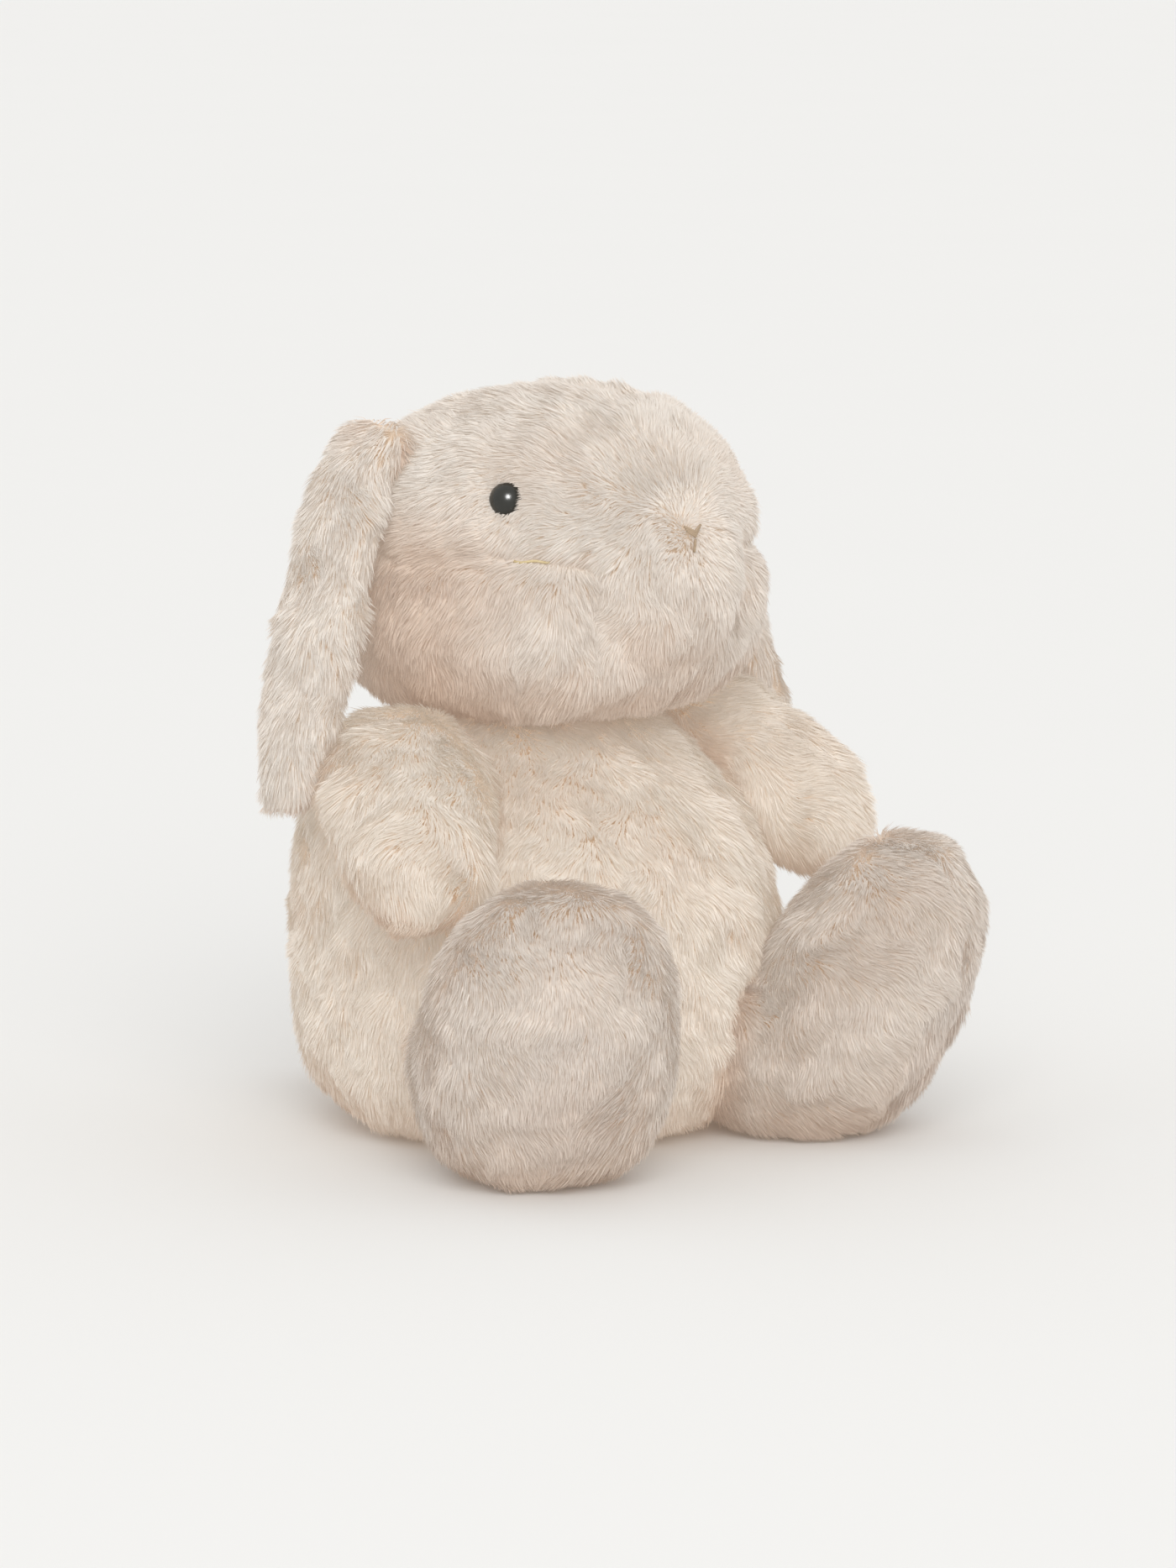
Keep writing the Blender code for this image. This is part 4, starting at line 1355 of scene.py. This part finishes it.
@dataclass
class StitchedNose:
    """A small nose of laid threads and one upright stitch under it."""

    head: Head
    thread: float = 0.0005
    half_width: float = 0.0042
    rows: int = 3
    v_height: float = 0.0024
    drop: float = 0.0048

    def on_face(self, x: float, rise: float, stand: float) -> Vector:
        """A point over the muzzle at a distance from the head's surface.

        Args:
            x: Distance from the middle plane.
            rise: Height above the head's middle.
            stand: Distance outside the head's surface.

        Returns:
            The point.
        """
        azimuth = math.degrees(math.asin(x / self.head.half_length))
        spot = self.head.surface(azimuth, rise)
        return spot + (spot - self.head.centre).normalized() * stand

    def strand(self, name: str, points: Sequence[Vector],
               finish: MottledFinish = NOSE_THREAD) -> bpy.types.Object:
        """One thread as a closed tube.

        Args:
            name: The piece's name.
            points: The line of the thread.
            finish: Its look.

        Returns:
            The new piece.
        """
        curve = bpy.data.curves.new(name, "CURVE")
        curve.dimensions = "3D"
        curve.bevel_depth = self.thread
        curve.bevel_resolution = 3
        curve.use_fill_caps = True
        line = curve.splines.new("POLY")
        line.points.add(len(points) - 1)
        for spot, point in zip(line.points, points):
            spot.co = (*point, 1.0)
        obj = bpy.data.objects.new(name, curve)
        bpy.context.scene.collection.objects.link(obj)
        graph = bpy.context.evaluated_depsgraph_get()
        mesh = bpy.data.meshes.new_from_object(obj.evaluated_get(graph))
        bpy.data.objects.remove(obj)
        tube = bmesh.new()
        tube.from_mesh(mesh)
        bmesh.ops.remove_doubles(tube, verts=tube.verts, dist=1e-6)
        tube.to_mesh(mesh)
        tube.free()
        mesh.shade_smooth()
        return link_mesh(name, mesh, finish.material())

    def cheek(self, word: str, side: int) -> None:
        """The end of the thread that pulls the crease in, lying in it under the eye.

        Args:
            word: The side by name.
            side: -1 for the right side, 1 for the left.
        """
        points = []
        for k in range(9):
            spot = self.head.surface(side * (52.5 - 1.3 * k), 0.0035 - 0.0004 * math.sin(k))
            depth = 0.0044 + 0.0016 * (k / 4 - 1) ** 2
            points.append(spot - (spot - self.head.centre).normalized() * depth)
        piece = self.strand(f"cheek_thread_{word}", points, CHEEK_THREAD)
        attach(piece, "head")

    def build(self) -> None:
        """Makes the V of laid threads and the stitch under it."""
        stand = 0.0006
        steps = [k / 6 - 1 for k in range(13)]
        for row in range(self.rows):
            drop = row * self.thread * 1.7
            width = self.half_width * (1 - 0.16 * row)
            points = [self.on_face(width * s, self.head.nose_rise + self.v_height * abs(s) ** 0.8 - drop,
                                   stand - 0.0012 * abs(s)) for s in steps]
            piece = self.strand(f"nose_thread_{row + 1}", points)
            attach(piece, "head")
            if row == 0:
                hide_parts("nose_stitch")
        top = self.head.nose_rise - self.rows * self.thread * 1.7
        points = [self.on_face(0.0, top - self.drop * k / 5, stand - 0.0002 * k) for k in range(6)]
        piece = self.strand("mouth_thread", points)
        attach(piece, "head")
        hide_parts("mouth_stitch")
        for word, side in Sides:
            self.cheek(word, side)
        LOG.info("face: %d nose threads, a mouth stitch and 2 cheek threads", self.rows)


# ------------------------------------------------------------------ label, floor, lights, camera


@dataclass
class CareLabel:
    """A blank folded satin label in the left side seam."""

    turns: int = 10

    def build(self) -> None:
        """Makes the folded strip."""
        low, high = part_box("care_label")
        reach, height = high[0] - low[0], high[2] - low[2]
        middle_y = (low[1] + high[1]) / 2
        strip = bmesh.new()
        bmesh.ops.create_grid(strip, x_segments=2 * self.turns, y_segments=6, size=0.5)
        for vertex in strip.verts:
            along, across = vertex.co.x * 2, vertex.co.y
            out = (1 - abs(along) ** 2.2) * reach
            side = 0.0009 * math.sin(along * math.pi / 2) + 0.0012 * (out / reach) * across
            vertex.co = Vector((low[0] + out, middle_y + side, (low[2] + high[2]) / 2 + across * height))
        mesh = bpy.data.meshes.new("folded_label")
        strip.to_mesh(mesh)
        strip.free()
        piece = link_mesh("folded_label", mesh, SATIN.material())
        wall = piece.modifiers.new("satin", "SOLIDIFY")
        wall.thickness = 0.00025
        apply_modifiers(piece)
        piece.data.shade_smooth()
        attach(piece, "trunk")
        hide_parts("care_label")


@dataclass
class Studio:
    """A pale floor, soft light from all round and above, and the camera."""

    azimuth: float = -41.0
    elevation: float = 9.0
    distance: float = 2.4
    aside: float = 0.020
    height: float = 0.130
    lens: float = 96.4
    sensor: float = 24.0
    sky: float = 0.85
    key_azimuth: float = -36.0
    key_elevation: float = 31.0
    key_power: float = 1.20
    key_spread: float = 45.0
    window_power: float = 24.0
    window_size: float = 0.45

    def build(self) -> None:
        """Makes the floor, the lights and the camera."""
        self.floor()
        self.lights()
        self.camera()

    def floor(self) -> None:
        """A wide pale floor just under the toy."""
        sheet = bmesh.new()
        bmesh.ops.create_grid(sheet, x_segments=4, y_segments=4, size=40.0)
        mesh = bpy.data.meshes.new("floor")
        sheet.to_mesh(mesh)
        sheet.free()
        link_mesh("floor", mesh, FLOOR_FINISH.material())

    def lights(self) -> None:
        """An even sky, one very soft lamp in front of the toy, and a window that only shows in gloss."""
        world = bpy.data.worlds.new("studio")
        world.use_nodes = True
        sky = world.node_tree.nodes["Background"]
        sky.inputs["Color"].default_value = (1.0, 0.995, 0.985, 1.0)
        sky.inputs["Strength"].default_value = self.sky
        bpy.context.scene.world = world
        lamp = bpy.data.lights.new("key", "SUN")
        lamp.energy = self.key_power
        lamp.angle = math.radians(self.key_spread)
        lamp.color = (1.0, 0.985, 0.96)
        obj = bpy.data.objects.new("key", lamp)
        obj.matrix_world = self.looking(self.key_azimuth, self.key_elevation, 3.0)
        obj.visible_glossy = False
        bpy.context.scene.collection.objects.link(obj)
        window = bpy.data.lights.new("window", "AREA")
        window.energy, window.size = self.window_power, self.window_size
        obj = bpy.data.objects.new("window", window)
        obj.matrix_world = self.looking(-40.0, 34.0, 1.4)
        obj.visible_diffuse = False
        bpy.context.scene.collection.objects.link(obj)
        bpy.context.scene.view_settings.view_transform = "Standard"

    def looking(self, azimuth: float, elevation: float, distance: float) -> Matrix:
        """Place of something that looks at the toy from an angle.

        Args:
            azimuth: Degrees from the front towards +X.
            elevation: Degrees above the horizon.
            distance: Distance from the toy.

        Returns:
            The place, with its back towards the viewer.
        """
        turn, rise = math.radians(azimuth), math.radians(elevation)
        right = Vector((math.cos(math.radians(self.azimuth)), math.sin(math.radians(self.azimuth)), 0))
        target = right * self.aside + UP * self.height
        back = Vector((math.sin(turn) * math.cos(rise), -math.cos(turn) * math.cos(rise), math.sin(rise)))
        side = UP.cross(back).normalized()
        turned = Matrix((side, back.cross(side), back)).transposed().to_4x4()
        return Matrix.Translation(target + back * distance) @ turned

    def camera(self) -> None:
        """The camera at the height of the toy's chest, to its right."""
        lens = bpy.data.cameras.new("camera")
        lens.sensor_fit = "VERTICAL"
        lens.sensor_height = self.sensor
        lens.lens = self.lens
        obj = bpy.data.objects.new("camera", lens)
        obj.matrix_world = self.looking(self.azimuth, self.elevation, self.distance)
        bpy.context.scene.collection.objects.link(obj)
        bpy.context.scene.camera = obj


def forms() -> list[Form]:
    """Every stuffed form of the toy, in the order in which it is sewn together.

    Returns:
        The forms.
    """
    made: list[Form] = [
        Trunk("trunk", "trunk", ("body_front_skin", "body_back_skin", "body_stuffing", "pellet_pouch",
                                 "neck_plug"), Coat(seed=11, finish=LIT_BODY_HAIR), Flow.DOWN),
        Head("head", "head", ("head_face_skin", "head_back_skin", "head_stuffing"),
             Coat(seed=23, length=0.0096, drift=26.0), Flow.FROM_NOSE, cap=0.002, inset=0.0068),
        Form("tail", "trunk", ("tail_skin", "tail_stuffing"), Coat(seed=31, length=0.012), Flow.OUT,
             voxel=0.003),
    ]
    for word, _ in Sides:
        made.append(Limb(f"arm_{word}", f"arm_{word}", (f"arm_{word}_skin", f"arm_{word}_stuffing"),
                         Coat(seed=41, length=0.0115, finish=LIT_BODY_HAIR), Flow.ALONG, voxel=0.0035))
        made.append(Limb(f"leg_{word}", f"leg_{word}",
                         (f"leg_{word}_skin", f"leg_{word}_sole", f"leg_{word}_stuffing",
                          f"leg_{word}_pellets"), Coat(seed=51), Flow.ALONG, sole=True, voxel=0.004))
        left = word == "left"
        made.append(Ear(f"ear_{word}", f"ear_{word}", (f"ear_{word}_outer", f"ear_{word}_lining"),
                        Coat(seed=61, length=0.0092, stand=44), Flow.ALONG, fill=0.4, inset=0.0022,
                        voxel=0.0025, pressure=1.0, cap=0.001, deepest=0.0045,
                        lean=0.0 if left else 0.008, forward=0.014 if left else -0.002,
                        outward=0.013 if left else 0.0))
    return made


def main() -> None:
    """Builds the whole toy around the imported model."""
    logging.basicConfig(level=logging.INFO, format="%(message)s")
    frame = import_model()
    toy = forms()
    for form in toy:
        form.build_skin(frame["nodes"])
    for form in toy:
        form.skin.feel([other.skin for other in toy if other is not form], reach=0.022)
    for form in toy:
        form.grow()
    head = next(form for form in toy if isinstance(form, Head))
    Eyes(head).build()
    StitchedNose(head).build()
    CareLabel().build()
    for word, _ in Sides:
        washer = frame["nodes"][f"eye_washer_{word}"]
        washer.data.materials.clear()
        washer.data.materials.append(WASHER.material())
    Studio().build()


if __name__ == "__main__":
    main()
